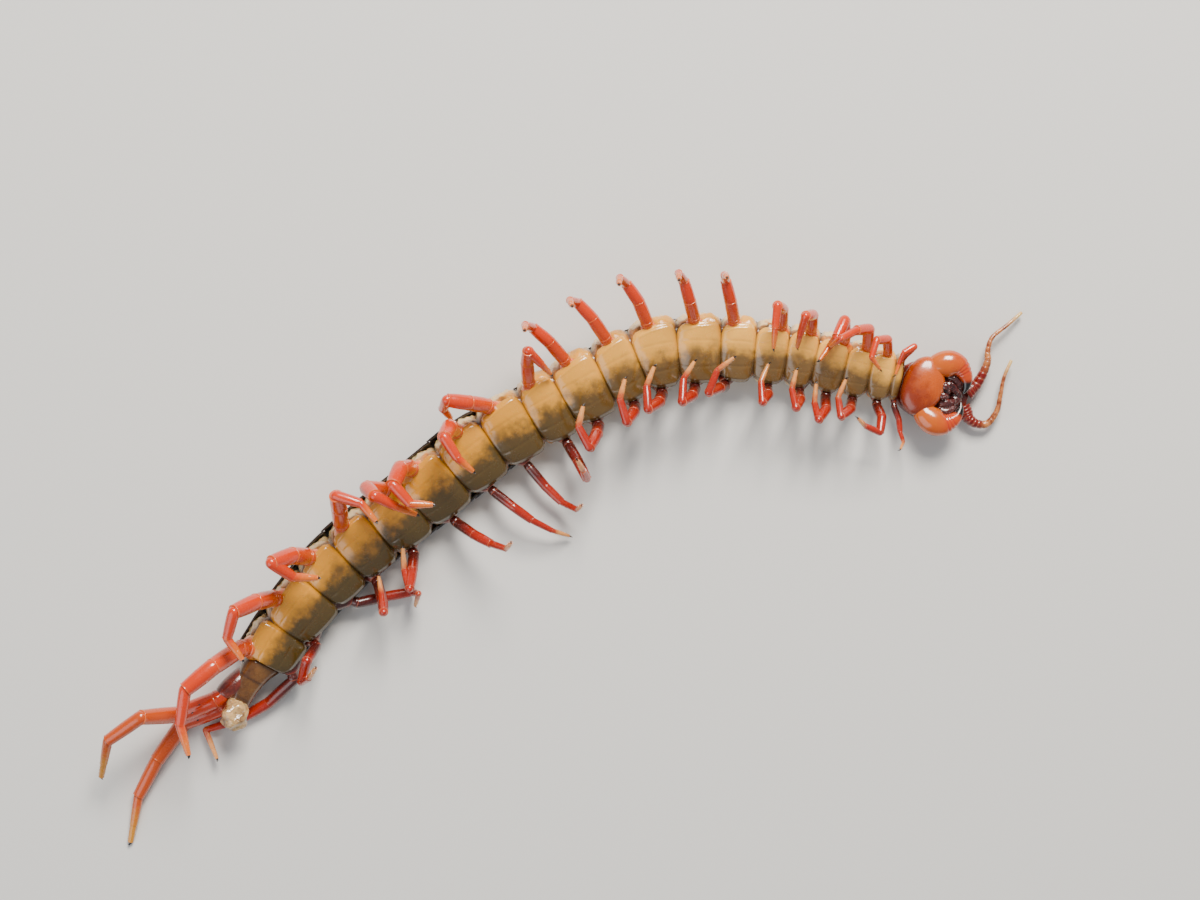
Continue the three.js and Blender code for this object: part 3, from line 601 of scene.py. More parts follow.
def belly_plate(segment):
    """Plate at (s, v), s along the segment and v across: up = 3.26 - 0.5 |v|^2.4, plus an arch
    0.6 (1 - |2s - 1|^2.3) and a fine ridge near the right rim, less two grooves at v = +-0.4 and
    a turn-down at the rims. Its half width falls from front to rear, with rounded corners, and
    both its ends bow outwards in the middle."""
    length = SEGMENT_LENGTHS[segment]
    s = np.linspace(0.0, 1.0, 35)[:, None]
    v = np.linspace(-1, 1, 61)[None]
    run = SEGMENT_STARTS[segment] + 0.06 + s * (length + PLATE_OVERLAP)
    run = np.minimum(run + PLATE_BOW * (1 - v**2) * (2 * s - 1), TRUNK_END)
    start, end = s * length, (1 - s) * length
    half = PLATE_FRONT_HALF + (PLATE_REAR_HALF - PLATE_FRONT_HALF) * s
    half = half - 0.9 * (1 - ease(start, 0, 1.5)) ** 2 - 0.8 * (1 - ease(end, 0, 1.6)) ** 2
    half = half + 0.3 * np.sin(np.pi * s)
    middle = ease(np.minimum(start, end), 0.3, 1.2)
    grooves = bump_at(np.abs(v), 0.4 + 0.06 * s, 0.035) * 0.06 * middle
    dents = 0.05 * np.sin(4.3 * v + 1.7 * segment) * np.sin(3.6 * s + 2.3 * segment) * middle
    turn_down = 0.5 * (1 - ease(start, 0.0, 0.8)) + 0.32 * (1 - ease(end, 0.0, 0.5))
    turn_down = turn_down + 0.36 * ease(np.abs(v), 0.86, 1.0)
    arch = 0.6 * (1 - np.abs(2 * s - 1) ** 2.3) * min(length / 6, 1.15)
    ridge = bump_at(v, 0.93 - 0.13 * s, 0.022) * 0.09 * middle
    up = 3.26 - 0.5 * np.abs(v) ** 2.4 + arch - grooves + dents + ridge - turn_down
    outer = trunk_place(run, v * half, up)
    under = np.minimum(up, 3.1 - 0.5 * np.abs(v) ** 2.4) - PLATE_THICKNESS
    inner = trunk_place(run, v * (half - 0.12), under)
    rim = np.maximum(1 - ease(end, 0.0, 0.42), 1 - ease(start, 0.0, 0.5))
    gut = bump_at(v, -0.05, 0.42) * bump_at(s, 0.5, 0.42)
    return plate_skin(outer, inner, rim=rim, along=(segment + s) / SEGMENTS, across=v, gut=gut)


for segment in range(SEGMENTS):
    make_piece(f"belly_plate_{segment + 1:02d}", [belly_plate(segment)], belly_finish)
print("belly plates:", SEGMENTS)

# %% [markdown]
# ## Back plates
# The animal lies on its back plates, so only the margins beside the rear segments show along
# the flanks: blue-black horn as glossy as a beetle's. Each plate is a wide shallow dish from
# flank to flank, with a thickened lip, and its rear rim slides over the next plate. One long
# black band would look the same from above, but someone who turns the model over expects plates.

# %% Back plate finish
BACK_BLACK = colour(14, 18, 30)
BACK_OLIVE = colour(40, 40, 34)
LIP_BROWN = colour(60, 36, 18)

back_finish, tree, shader, place = start_finish("back_horn")
dark = blend(tree, blotch_mask(tree, place, 200.0, 0.4, 0.7), BACK_BLACK, BACK_OLIVE)
dark = tint(tree, dark, mark_of(tree, "rim"), 0.35, LIP_BROWN)
finish_horn(tree, shader, place, dark, gloss=0.1, wrinkle=0.12, relief_scale=300.0, depth=0.00018, coat=1.0,
            glow=0.0)


# %% Back plates
BACK_HALF_FRONT = 4.3
BACK_HALF_REAR = 5.62
MARGIN_FROM, MARGIN_TO = 62, 80


def back_plate(segment):
    """Dish at (s, v): across = half width x sin(90v), up = -1.2 - 2.1 cos(90v), with a lip and a
    groove inside it on both flanks. The half width grows towards the rear of the body, and each
    plate starts a little inside the one in front."""
    length = SEGMENT_LENGTHS[segment]
    s = np.linspace(-0.04, 1.04, 25)[:, None]
    v = np.linspace(-1, 1, 81)[None]
    run = np.clip(SEGMENT_STARTS[segment] + length * s, 0, TRUNK_END)
    turn = v * np.pi / 2
    half = BACK_HALF_FRONT + (BACK_HALF_REAR - BACK_HALF_FRONT) * ease(run, MARGIN_FROM, MARGIN_TO)
    flare = 1 + 0.02 * ease(s, 0.0, 1.0) - 0.025 * bump_at(s, -0.04, 0.1)
    lip = 0.1 * ease(np.abs(v), 0.9, 0.96) - 0.07 * bump_at(np.abs(v), 0.84, 0.04)
    across = (half + lip) * np.sin(turn) * flare
    up = -1.2 - 2.1 * np.cos(turn) ** 0.85 * flare + lip
    outer = trunk_place(run, across, up)
    inner = trunk_place(run, across * 0.93, (up + 1.2) * 0.8 - 1.2)
    rim = np.maximum(ease(np.abs(v), 0.97, 1.0), ease(s, 0.99, 1.04))
    return plate_skin(outer[:, ::-1], inner[:, ::-1], rim=rim[:, ::-1])


for segment in range(SEGMENTS):
    make_piece(f"back_plate_{segment + 1:02d}", [back_plate(segment)], back_finish)
print("back plates:", SEGMENTS)

# %% [markdown]
# ## Articles of a leg
# A leg is a chain of seven articles with a claw at its end. Each one is a body of revolution: it
# begins as a ball that sits in the joint, swells a little along its shaft, and ends in a thin
# lip round the ball of the next. Built this way a leg can bend sharply and still look jointed,
# where one smooth bent tube would look like rubber.

# %% One article
LIP_RUN = np.array([0.14, 0.09, 0.04, 0.0, 0.04])
LIP_RADIUS = np.array([1.0, 1.035, 1.035, 0.98, 0.8])
LIP_MARK = np.array([0.0, 0.5, 0.9, 1.0, 1.0])


def rings_round(line, side, over, radius, sides):
    """Rings round a line: line + radius (side cos + over sin) of a full turn, at every point."""
    turn = around(sides)[None, :, None]
    ring = np.cos(turn) * np.atleast_2d(side)[:, None] + np.sin(turn) * np.atleast_2d(over)[:, None]
    return line[:, None] + ring * radius[:, None, None]


def article_profile(length, first, last):
    """Run and radius along an article, and how much each ring belongs to the joint: a ball of
    the first radius, a shaft with a swelling of 5 percent, and a thin lip that turns in."""
    ball = np.radians(np.linspace(8, 80, 6))
    shaft = np.linspace(0, 1, 10)
    low, high = min(0.18 * first, 0.2 * length), max(length - 0.2 * last, 0.5 * length)
    swollen = (first + (last - first) * shaft) * (1 + 0.05 * np.sin(np.pi * shaft))
    run = [-0.97 * first * np.cos(ball), low + (high - low) * shaft, length - last * LIP_RUN]
    radius = [0.97 * first * np.sin(ball), swollen, last * LIP_RADIUS]
    return np.concatenate(run), np.concatenate(radius), np.concatenate([0 * ball, 0 * shaft, LIP_MARK])


def article(start, end, first, last, sides, far_from, far_to):
    """Skin of one article between two joints, with its share of the leg's length as a mark."""
    length = float(np.linalg.norm(end - start))
    way = unit(end - start)
    run, radius, joint = article_profile(length, first, last)
    side = unit(np.cross(UP if abs(way[2]) < 0.9 else [1.0, 0.0, 0.0], way))
    rings = rings_round(start + way * run[:, None], side, np.cross(way, side), radius, sides)
    far = far_from + (far_to - far_from) * np.clip(run / length, 0, 1)
    return tube_skin(rings, joint=joint[:, None], far=far[:, None])


# %% A claw
CLAW_BEND = np.radians(70)
CLAW_SIDES = 9


def claw_hook(start, way, hang, length, radius):
    """Hooked claw: its line bends from the way along towards the hang direction, as
    sin and 1 - cos of a turn of 70 degrees, and its radius falls to nothing."""
    t = np.linspace(0, 1, 10)
    bend = CLAW_BEND * t
    line = start + length * (np.sin(bend)[:, None] * way + (1 - np.cos(bend))[:, None] * hang)
    side = unit(np.cross(hang, way))
    over = np.cross(unit(np.gradient(line, axis=0)), side)
    rings = rings_round(line, side, over, radius * (1 - t**1.5 * 0.92), CLAW_SIDES)
    return tube_skin(rings, claw=np.ones((1, 1)), far=np.ones((1, 1)))


# %% [markdown]
# ## Leg finish
# The legs on the lit right side are orange red from hip to foot, with amber feet. The left legs
# get a copy of that finish with the animal's own shade painted in: painted shade makes them wine
# brown at the root and a darker red in the middle, and their feet are cream. The last pair is a
# browner orange. A picture of the colours could be wrapped round each leg, but one finish with
# four colours fits every leg. At each joint a thin paler line shows the lip, and the claws are
# black. The mark "far" runs from 0 at the body to 1 at the claw, and "joint" is 1 on the lips.

# %% Limb finish
CLAW_BLACK = colour(16, 8, 6)


def limb_finish(name, root, middle, foot, ring):
    """Horn whose colour runs from root to foot along the mark far, with rings and a black claw."""
    material, tree, shader, place = start_finish(name)
    cloud = blotch_mask(tree, place, 420.0, 0.34, 0.7)
    drift = wander(tree, mark_of(tree, "far"), cloud, 0.05)
    horn = blend(tree, remap(tree, drift, 0.08, 0.42), root, middle)
    horn = blend(tree, remap(tree, drift, 0.72, 0.9), horn, foot)
    horn = tint(tree, horn, cloud, 0.2, root)
    horn = tint(tree, horn, mark_of(tree, "joint"), 0.6, ring)
    horn = blend(tree, mark_of(tree, "claw"), horn, CLAW_BLACK)
    finish_horn(tree, shader, place, horn, gloss=0.17, wrinkle=0.16, relief_scale=700.0, depth=0.0001,
                coat=0.7, glow=0.04)
    return material


LEG_FINISHES = {
    "right": limb_finish("right_leg_horn", root=colour(206, 64, 0), middle=colour(204, 50, 0),
                         foot=colour(222, 112, 24), ring=colour(228, 112, 40)),
    # The left finish is the same horn with painted shade: a wine-brown root and a darker red middle.
    "left": limb_finish("left_leg_horn_painted_shade", root=colour(70, 18, 14), middle=colour(170, 32, 4),
                        foot=colour(236, 158, 84), ring=colour(226, 110, 66)),
}
tail_leg_finish = limb_finish("tail_leg_horn", root=colour(200, 52, 0), middle=colour(186, 70, 4),
                              foot=colour(198, 132, 26), ring=colour(226, 110, 38))
print("limb finishes:", len(LEG_FINISHES) + 1)

# %% [markdown]
# ## Where the legs stand and how they lie
# Each leg leaves a short hip on its segment. A row in the tables below says where along its
# segment the hip sits, then the heading and rise of the thigh, the femur, the tibia and the
# foot. Straight tables read better here than formulas would: a slack leg obeys no formula.

# %% Leg tables
SIDES = {"right": 1, "left": -1}
LEG_LENGTHS = [9.0, 12.5, 15.0, 15.0, 15.0, 15.5, 16.0, 16.0, 16.0, 16.0, 16.0, 15.5, 16.0, 16.5, 17.0, 17.0,
               17.5, 19.0, 20.0, 24.5]
LEG_SHARES = (0.26, 0.24, 0.25, 0.14, 0.08, 0.03)
LEG_RADII = {
    "right": [0.6, 0.82, 0.98, 1.0, 1.0, 1.02, 1.06, 1.08, 1.1, 1.1, 1.12, 1.12, 1.3, 1.35, 1.42, 1.3, 1.35,
              1.48, 1.45, 1.5],
    "left": [0.52, 0.8, 0.88, 0.9, 0.88, 0.88, 0.92, 0.98, 1.02, 1.0, 1.05, 0.92, 0.82, 0.82, 0.88, 0.95, 0.9,
             0.9, 0.9, 1.0],
}
LEG_TAPER = ((0.95, 1.0), (1.0, 1.0), (1.0, 0.88), (0.72, 0.6), (0.52, 0.44), (0.4, 0.3), (0.24, 0.08))
RIGHT_LEGS = [
    (0.54, 45, 28, 210, 9, 252, -31, 250, 5),
    (0.46, 103, 54, 187, 46, 252, 11, 309, -26),
    (0.36, 93, 51, 188, 48, 208, 32, 217, -55),
    (0.26, 97, 45, 243, 25, 238, -66, 233, 20),
    (0.34, 95, 57, 194, 66, 256, -37, 262, -49),
    (0.3, 95, 56, 162, 72, 264, -2, 267, -22),
    (0.66, 105, 47, 106, 34, 123, 78, 293, 78),
    (0.61, 108, 50, 108, 33, 135, 68, 271, 67),
    (0.58, 114, 35, 126, 28, 146, 69, 265, 68),
    (0.49, 125, 28, 134, 22, 175, 72, 292, 70),
    (0.57, 131, 31, 140, 25, 166, 72, 272, 73),
    (0.62, 92, 47, 82, 59, 315, -40, 314, -51),
    (0.61, 172, 47, 173, 23, 237, -65, 306, -58),
    (0.44, 142, 80, 251, 62, 302, -3, 319, -26),
    (0.57, 188, 74, 252, 47, 312, -3, 358, -7),
    (0.3, 173, 60, 323, 59, 332, -26, 338, -14),
    (0.57, 87, 57, 92, 59, 343, 6, 310, -4),
    (0.55, 170, 68, 200, 48, 323, -29, 357, -23),
    (0.6, 189, 64, 205, 46, 253, -19, 305, -5),
    (0.82, 215, 42, 220, 12, 260, -10, 286, 1),
]
LEFT_LEGS = [
    (0.31, 290, 7, 275, 4, 283, 40, 241, 44),
    (0.5, 286, 50, 260, 25, 157, 23, 139, 47),
    (0.46, 245, 68, 214, 51, 95, -29, 67, 0),
    (0.39, 263, 59, 231, 49, 100, -39, 85, 1),
    (0.36, 264, 72, 236, 61, 100, -29, 76, 2),
    (0.49, 263, 75, 229, 61, 92, -24, 66, -20),
    (0.83, 191, 75, 204, 56, 69, 0, 37, 7),
    (0.63, 242, 71, 210, 58, 86, -16, 58, 0),
    (0.64, 245, 69, 212, 54, 93, -13, 69, 2),
    (0.61, 251, 75, 234, 59, 107, 0, 76, 1),
    (0.6, 256, 70, 242, 50, 118, 1, 77, 1),
    (0.52, 301, 38, 297, 23, 113, 64, 118, 56),
    (0.64, 310, -2, 316, -4, 335, 42, 45, 70),
    (0.64, 323, 19, 324, -9, 332, -21, 341, -30),
    (0.64, 328, 35, 334, 35, 345, 49, 50, 66),
    (0.68, 269, 56, 266, 45, 111, -42, 94, -1),
    (0.83, 290, 45, 291, 71, 103, -48, 104, -42),
    (0.74, 12, -22, 10, -2, 358, 70, 250, -55),
    (0.86, 243, 64, 252, -33, 32, 64, 52, 54),
    (0.82, 222, -14, 210, -3, 197, 0, 294, 10),
]
TAIL_LEG_LENGTH = 31.0
TAIL_LEG_RADIUS = 1.5
TAIL_LEG_SHARES = (0.22, 0.26, 0.23, 0.17, 0.1, 0.02)
TAIL_LEG_TAPER = ((0.95, 1.0), (1.0, 1.0), (0.95, 0.86), (0.8, 0.7), (0.56, 0.44), (0.38, 0.32), (0.22, 0.08))
HIPS = {"right": (4.1, 2.0, 38), "left": (4.6, 1.3, 20)}
HIP_LENGTH = 0.8
GAP = 0.3
FLANK_PULL = 1.2
ROOT_ARTICLE = 0.9

# %% Hip seats and leg joints
def hip_seat(side_name, segment, row):
    """Middle of the hip on the flank, the way it points, and the width of the trunk there. It
    points between the flank's own direction, tilted towards the belly, and the way of the thigh."""
    side = SIDES[side_name]
    out, up, tilt = HIPS[side_name]
    run = np.array(SEGMENT_STARTS[segment] + row[0] * SEGMENT_LENGTHS[segment])
    wide, high = trunk_scale(run)
    axis, aside, belly = trunk_frame(run)
    outward = aside * side * np.cos(np.radians(tilt)) + belly * np.sin(np.radians(tilt))
    at = axis + aside * (side * out * wide) + belly * (up * high)
    return at, unit(outward * FLANK_PULL + direction(row[1], row[2])), float(wide)


def leg_joints(at, way, scale, pose, length, shares, radius):
    """The eight places where the articles of a leg meet, from the hip to the claw's tip."""
    thigh, femur, tibia, foot = [direction(pose[i], pose[i + 1]) for i in (0, 2, 4, 6)]
    start = at + way * (HIP_LENGTH * scale + GAP)
    steps = [way * radius * ROOT_ARTICLE]
    steps += [w * share * length for w, share in zip((thigh, femur, tibia, foot, foot, foot), shares)]
    return start + np.vstack([np.zeros(3), np.cumsum(steps, axis=0)])


# %% Hairs
HAIR_FACES = ((0, 2, 1), (0, 1, 3), (1, 2, 3), (2, 0, 3))


def bristles(joints, radii, count, length, thickness, seed, first=2):
    """Fine straight hairs from the article with number first on: each is a pyramid of four faces
    whose foot lies on the limb and whose tip points outwards and forwards."""
    random = np.random.default_rng(seed)
    which = random.integers(first, len(joints) - 2, count)
    t = random.uniform(0.1, 0.9, count)[:, None]
    start, end = joints[which], joints[which + 1]
    way = unit(end - start)
    out = random.normal(size=(count, 3))
    out = unit(out - way * (out * way).sum(1, keepdims=True))
    taper = np.asarray(radii)[which][:, None] * (1 - 0.12 * t)
    foot = start + (end - start) * t + out * taper * 0.92
    side = unit(np.cross(out, way)) * thickness
    size = length * random.uniform(0.6, 1.2, count)[:, None]
    corners = [foot + side, foot - side * 0.5 + way * thickness * 0.87,
               foot - side * 0.5 - way * thickness * 0.87, foot + unit(out + way * 0.7) * size]
    points = np.stack(corners, axis=1).reshape(-1, 3)
    base = np.arange(count)[:, None] * 4
    faces = np.concatenate([base + np.array(face) for face in HAIR_FACES])
    return points, faces, {"far": np.full(len(points), 0.93)}


# %% A whole limb
HOOK_LENGTH = 0.6


def limb_skins(joints, radius, taper, sides, hairs, seed):
    """Skins of a whole limb: an article between each two joints, the hooked claw, which takes the
    place of the last row of the taper, and the hairs."""
    run = np.concatenate([[0], np.cumsum(np.linalg.norm(np.diff(joints, axis=0), axis=1))])
    far = run / run[-1]
    skins = []
    for i, (first, last) in enumerate(taper[:-1]):
        ends = joints[i], joints[i + 1], radius * first, radius * last
        skins.append(article(*ends, sides, far[i], far[i + 1]))
    way = unit(joints[-1] - joints[-2])
    bent_to = joints[-4] - joints[-2]
    hang = bent_to - way * bent_to.dot(way)
    hang = unit(hang) if np.linalg.norm(hang) > 0.05 else unit(np.cross(way, [0.3, 0.9, 0.2]))
    skins.append(claw_hook(joints[-2], way, hang, HOOK_LENGTH, radius * 0.2))
    skins.append(bristles(joints, np.array(taper)[:, 0] * radius, seed=seed, **hairs))
    return skins


# %% A hip
HIP_SIDES = 26


def hip_skin(at, way, scale, radius, segment, side):
    """The hip: a swelling of the flank that narrows to the leg. Its rings are ovals, long along
    the body at the root and round at the mouth: each axis falls from root to mouth size by
    1 - t^1.6, t from 0 to 1."""
    t = np.linspace(0, 1, 18)
    run = (-1.9 + 2.72 * t) * scale
    back = unit(at_run(SEGMENT_STARTS[segment] + 0.5 * SEGMENT_LENGTHS[segment], spine_way))
    back = np.append(back, 0.0)
    back = unit(back - way * back.dot(way))
    over = np.cross(way, back)
    fade = 1 - t**1.6
    long_axis = radius + (max(0.4 * SEGMENT_LENGTHS[segment], radius) - radius) * fade
    short_axis = radius + 0.55 * radius * fade
    turn = around(HIP_SIDES)
    folds = 1 + 0.03 * np.sin(3 * turn + segment)[None] * fade[:, None]
    ring = (np.cos(turn)[None, :, None] * back * (long_axis[:, None] * folds)[..., None]
            + np.sin(turn)[None, :, None] * over * (short_axis[:, None] * folds)[..., None])
    skin = (at + way * run[:, None])[:, None] + ring
    # The left hips get the mark for painted shade.
    shade = np.array([[0.0 if side > 0 else 1.0]])
    return tube_skin(skin, joint=ease(t, 0.93, 1.0)[:, None], far=t[:, None], shade=shade)


# %% Walking legs
LEG_ROWS = {"right": RIGHT_LEGS, "left": LEFT_LEGS}
LEG_SIDES = 22
LEG_HAIRS = {"count": 90, "length": 0.34, "thickness": 0.022}
hips = []
for side_name, side in SIDES.items():
    for segment, row in enumerate(LEG_ROWS[side_name]):
        radius = LEG_RADII[side_name][segment]
        seat = hip_seat(side_name, segment, row)
        joints = leg_joints(*seat, row[1:], LEG_LENGTHS[segment], LEG_SHARES, radius)
        skins = limb_skins(joints, radius, LEG_TAPER, LEG_SIDES, LEG_HAIRS, seed=segment)
        name = f"leg_{side_name}_{segment + 1:02d}"
        make_piece(name + "_articles", skins, LEG_FINISHES[side_name], [name])
        hips.append(hip_skin(*seat, radius, segment, side))
print("walking legs:", len(hips))

# %% [markdown]
# ## Hips
# Every leg stands in a hip, a swelling of the flank that is amber like the belly plates at its
# root and turns orange where the leg comes out. On the left ones the animal's own shade is
# painted in, so they are browner. A hip could be part of its leg, but all the hips are one piece
# here, because they share one finish and belong to the trunk.

# %% Hips
HIP_AMBER = colour(232, 144, 40)
HIP_AMBER_DEEP = colour(206, 108, 26)
HIP_PAINTED_SHADE = colour(74, 26, 18)
MOUTH_ORANGE = colour(222, 84, 14)
MOUTH_PAINTED_SHADE = colour(120, 24, 12)
MOUTH_RING = colour(238, 150, 90)

hip_finish, tree, shader, place = start_finish("hip_horn")
# The mark shade is 1 on the left hips: there painted shade darkens both root and mouth.
shade = mark_of(tree, "shade")
root_colour = blend(tree, blotch_mask(tree, place, 330.0, 0.38, 0.64), HIP_AMBER, HIP_AMBER_DEEP)
root_colour = blend(tree, shade, root_colour, HIP_PAINTED_SHADE)
mouth_colour = blend(tree, shade, MOUTH_ORANGE, MOUTH_PAINTED_SHADE)
hip_colour = blend(tree, remap(tree, mark_of(tree, "far"), 0.7, 1.0), root_colour, mouth_colour)
hip_colour = tint(tree, hip_colour, blotch_mask(tree, place, 1300.0, 0.62, 0.72), 0.6, RIM_BROWN)
hip_colour = tint(tree, hip_colour, mark_of(tree, "joint"), 0.25, MOUTH_RING)
finish_horn(tree, shader, place, hip_colour, gloss=0.16, wrinkle=0.45, relief_scale=600.0, depth=0.00018,
            coat=0.8, glow=0.1)
all_hips = make_piece("hips", hips, hip_finish)
print("faces of the hips:", len(all_hips.data.polygons))

# %% [markdown]
# ## The head
# The head points a little down and to the right. Underneath, flat on the floor, lies the head
# shield. On it sits the broad rust-coloured plate of the poison claws, which is a smooth dome,
# and the two claws curl forward from its corners until their black tips nearly meet. Spheres
# could be squashed and joined for these forms. Rows of rings, fixed at a few stations and
# smoothed between them, follow the outline more closely.

# %% Head places
HEAD_HEADING = -15.0
NECK = np.array([57.8, 30.1, 0.0])


def places_from(origin, heading, right_turn):
    """A function for points of a level part: so far along its heading from the origin, so far to
    the animal's right, which lies a quarter turn aside, and so high above the floor."""
    ahead_way, right_way = direction(heading, 0.0), direction(heading + right_turn, 0.0)

    def place_at(ahead, right, up):
        ahead, right, up = np.broadcast_arrays(ahead, right, up)
        return origin + ahead[..., None] * ahead_way + right[..., None] * right_way + up[..., None] * UP

    return place_at


head_place = places_from(NECK, HEAD_HEADING, 90)


def fuller(wave, power):
    """A sine or cosine whose size is raised to a power, so that a ring gets fuller corners."""
    return np.sign(wave) * np.abs(wave) ** power


def rounded_rings(stations, rows, columns, power, ceiling=np.inf):
    """Rings of a soft box from stations (ahead, middle right, half width, underside, top):
    right = half width x sin^power, up = half height x cos^power round the middle."""
    table = smooth_line(stations, rows)
    turn = around(columns)[None]
    ahead, middle, half, under, top = (table[:, c, None] for c in range(5))
    up = (under + top) / 2 + (top - under) / 2 * fuller(np.cos(turn), power)
    return ahead, middle + half * fuller(np.sin(turn), power), np.clip(up, FLOOR_CLEARANCE, ceiling)


# %% Head shield
SHIELD_STATIONS = [
    (0.3, 0, 3.2, 0.7, 2.7), (1.6, 0, 4.2, 0.0, 3.2), (4.2, 0, 5.1, -0.2, 3.25), (7.4, 0, 5.4, -0.2, 3.25),
    (9.6, 0, 4.9, -0.1, 3.1), (11.0, 0, 3.7, 0.3, 2.7), (12.2, 0, 2.0, 0.9, 2.2),
]
SHIELD_TOP = 3.25
shield_finish = mottled_finish("head_horn", colour(132, 34, 12), colour(84, 18, 8), 240.0, 0.36, 0.66,
                               gloss=0.2, wrinkle=0.3, relief_scale=500.0, depth=0.00015, coat=0.7, glow=0.1)
shield = head_place(*rounded_rings(SHIELD_STATIONS, 48, 56, 0.72, SHIELD_TOP))
shield_piece = make_piece("head_shield", [tube_skin(shield[:, ::-1])], shield_finish, ["head"])
print("faces of the head shield:", len(shield_piece.data.polygons))

# %% [markdown]
# ## The plate of the poison claws
# Seen from above this is the largest form of the head: a heart-shaped dome with a faint dimple
# in its middle. Its colour is rust at the rear left and orange towards the claws. A gradient
# texture could paint that, but a mark that runs across the plate follows its shape.

# %% Claw plate
PLATE_STATIONS = [
    (0.35, 0.0, 1.8, 4.0, 5.6), (0.8, 0.0, 3.2, 3.7, 6.5), (1.8, 0.1, 4.5, 3.5, 7.0),
    (3.2, 0.2, 5.2, 3.5, 7.25), (4.6, 0.3, 5.0, 3.5, 7.3), (5.9, 0.3, 3.8, 3.5, 7.05),
    (6.9, 0.4, 2.5, 3.5, 6.5), (7.4, 0.5, 1.4, 3.9, 5.8),
]
RUST = colour(126, 38, 0)
RUST_DEEP = colour(104, 22, 2)
RUST_LIT = colour(188, 78, 0)

plate_finish, tree, shader, place = start_finish("claw_plate_horn")
cloud = blotch_mask(tree, place, 210.0, 0.34, 0.68)
shift = wander(tree, mark_of(tree, "across"), cloud, 0.35)
rust = blend(tree, remap(tree, shift, -0.6, 0.7), RUST, RUST_LIT)
rust = tint(tree, rust, mark_of(tree, "rim"), 0.7, RUST_DEEP)
finish_horn(tree, shader, place, rust, gloss=0.2, wrinkle=0.25, relief_scale=420.0, depth=0.00016, coat=0.75,
            glow=0.06)

ahead, right, up = rounded_rings(PLATE_STATIONS, 60, 72, 0.82)
up = up - 0.18 * bump_at(ahead, 4.4, 0.5) * bump_at(right, 0.3, 0.5) * (up > 5)
rim = np.clip(1 - (up - 4.6) / 1.1, 0, 1)
across = np.clip((ahead - 3.8) / 4 + right / 8, -1, 1)
plate = tube_skin(head_place(ahead, right, up)[:, ::-1], rim=rim[:, ::-1], across=across[:, ::-1])
plate_piece = make_piece("claw_plate", [plate], plate_finish, ["poison_claw_plate"])
print("faces of the claw plate:", len(plate_piece.data.polygons))

# %% [markdown]
# ## Poison claws
# Each claw is four articles run together: a swollen thigh, two short rings and the long hooked
# fang. A tube carried along its bent line gives all four, with narrow grooves where they meet,
# and needs no joining of separate pieces. The line stays level, so "up" can serve as the second
# direction of every ring.

# %% Tubes along a level line
def carried(line, radius, sides, flat=1.0):
    """Tube: at each point of the line a ring across its way, flat times as high as wide."""
    along = unit(np.gradient(line, axis=0))
    side = unit(np.cross(UP, along))
    return rings_round(line, side, np.cross(along, side) * flat, radius, sides)


# %% Poison claws
CLAW_LINE = [
    (4.2, 2.9, 5.1, 1.5), (5.6, 4.4, 5.3, 2.15), (7.2, 5.15, 5.35, 2.35), (8.7, 5.15, 5.35, 2.0),
    (9.9, 4.45, 5.3, 1.45), (10.8, 3.3, 5.2, 1.0), (11.1, 2.0, 5.0, 0.6), (10.9, 0.7, 4.8, 0.12),
]
CLAW_ROWS = 90
GROOVES = (0.5, 0.555, 0.61)
GROOVE_WIDTH = 0.009
GROOVE_DEPTH = 0.09
AMBER = colour(192, 86, 0)
AMBER_DEEP = colour(188, 62, 0)
GROOVE_RED = colour(176, 24, 8)
FANG_BLACK = colour(10, 6, 5)

claw_finish, tree, shader, place = start_finish("poison_claw_horn")
far = mark_of(tree, "far")
cloud = blotch_mask(tree, place, 260.0, 0.34, 0.68)
amber = blend(tree, remap(tree, wander(tree, far, cloud, 0.12), 0.1, 0.6), AMBER, AMBER_DEEP)
amber = tint(tree, amber, mark_of(tree, "joint"), 0.85, GROOVE_RED)
amber = blend(tree, remap(tree, far, 0.7, 0.79), amber, FANG_BLACK)
finish_horn(tree, shader, place, amber, gloss=0.12, wrinkle=0.15, relief_scale=500.0, depth=0.0001, coat=0.9,
            glow=0.08)

table = smooth_line(CLAW_LINE, CLAW_ROWS)
far = np.linspace(0, 1, CLAW_ROWS)
groove = sum(bump_at(far, centre, GROOVE_WIDTH) for centre in GROOVES)
thick = table[:, 3] * (1 - GROOVE_DEPTH * groove)
for side_name, side in SIDES.items():
    line = head_place(table[:, 0], side * table[:, 1], table[:, 2])
    skin = tube_skin(carried(line, thick, 40, 0.82), far=far[:, None], joint=groove[:, None])
    name = f"poison_claw_{side_name}"
    make_piece(name + "_horn", [skin], claw_finish, [name])
print("poison claws:", len(SIDES))

# %% [markdown]
# ## Mouthparts
# Between the claws the mouth is a cluster of small wet lobes and feelers, purple brown with
# sharp glints, and a pair of short tooth plates stands over them. Nobody can count the parts of
# such a mouth from above, so they are short tubes that lean towards each other, not copies of
# every feeler.

# %% Lobes
MOUTH_LOBES = [
    [(7.0, 1.3, 4.3, 0.8), (8.2, 1.6, 4.6, 0.95), (9.4, 1.1, 4.5, 0.7), (9.9, 0.3, 4.2, 0.45)],
    [(7.2, 2.4, 4.4, 0.7), (8.4, 3.0, 4.9, 0.7), (9.6, 2.4, 4.8, 0.6), (10.2, 1.4, 4.5, 0.4)],
    [(6.8, 0.3, 4.2, 0.7), (7.8, 0.5, 4.8, 0.75), (8.7, 0.3, 4.6, 0.5)],
    [(9.2, 1.0, 3.6, 0.9), (10.2, 0.4, 3.5, 0.9), (11.0, 0.1, 3.2, 0.6)],
]
TOOTH_PLATE = [(6.9, 0.9, 6.1, 0.5), (7.6, 0.8, 6.2, 0.55), (8.3, 0.7, 6.0, 0.3)]
LOBE_ROWS = 24
LOBE_SIDES = 20


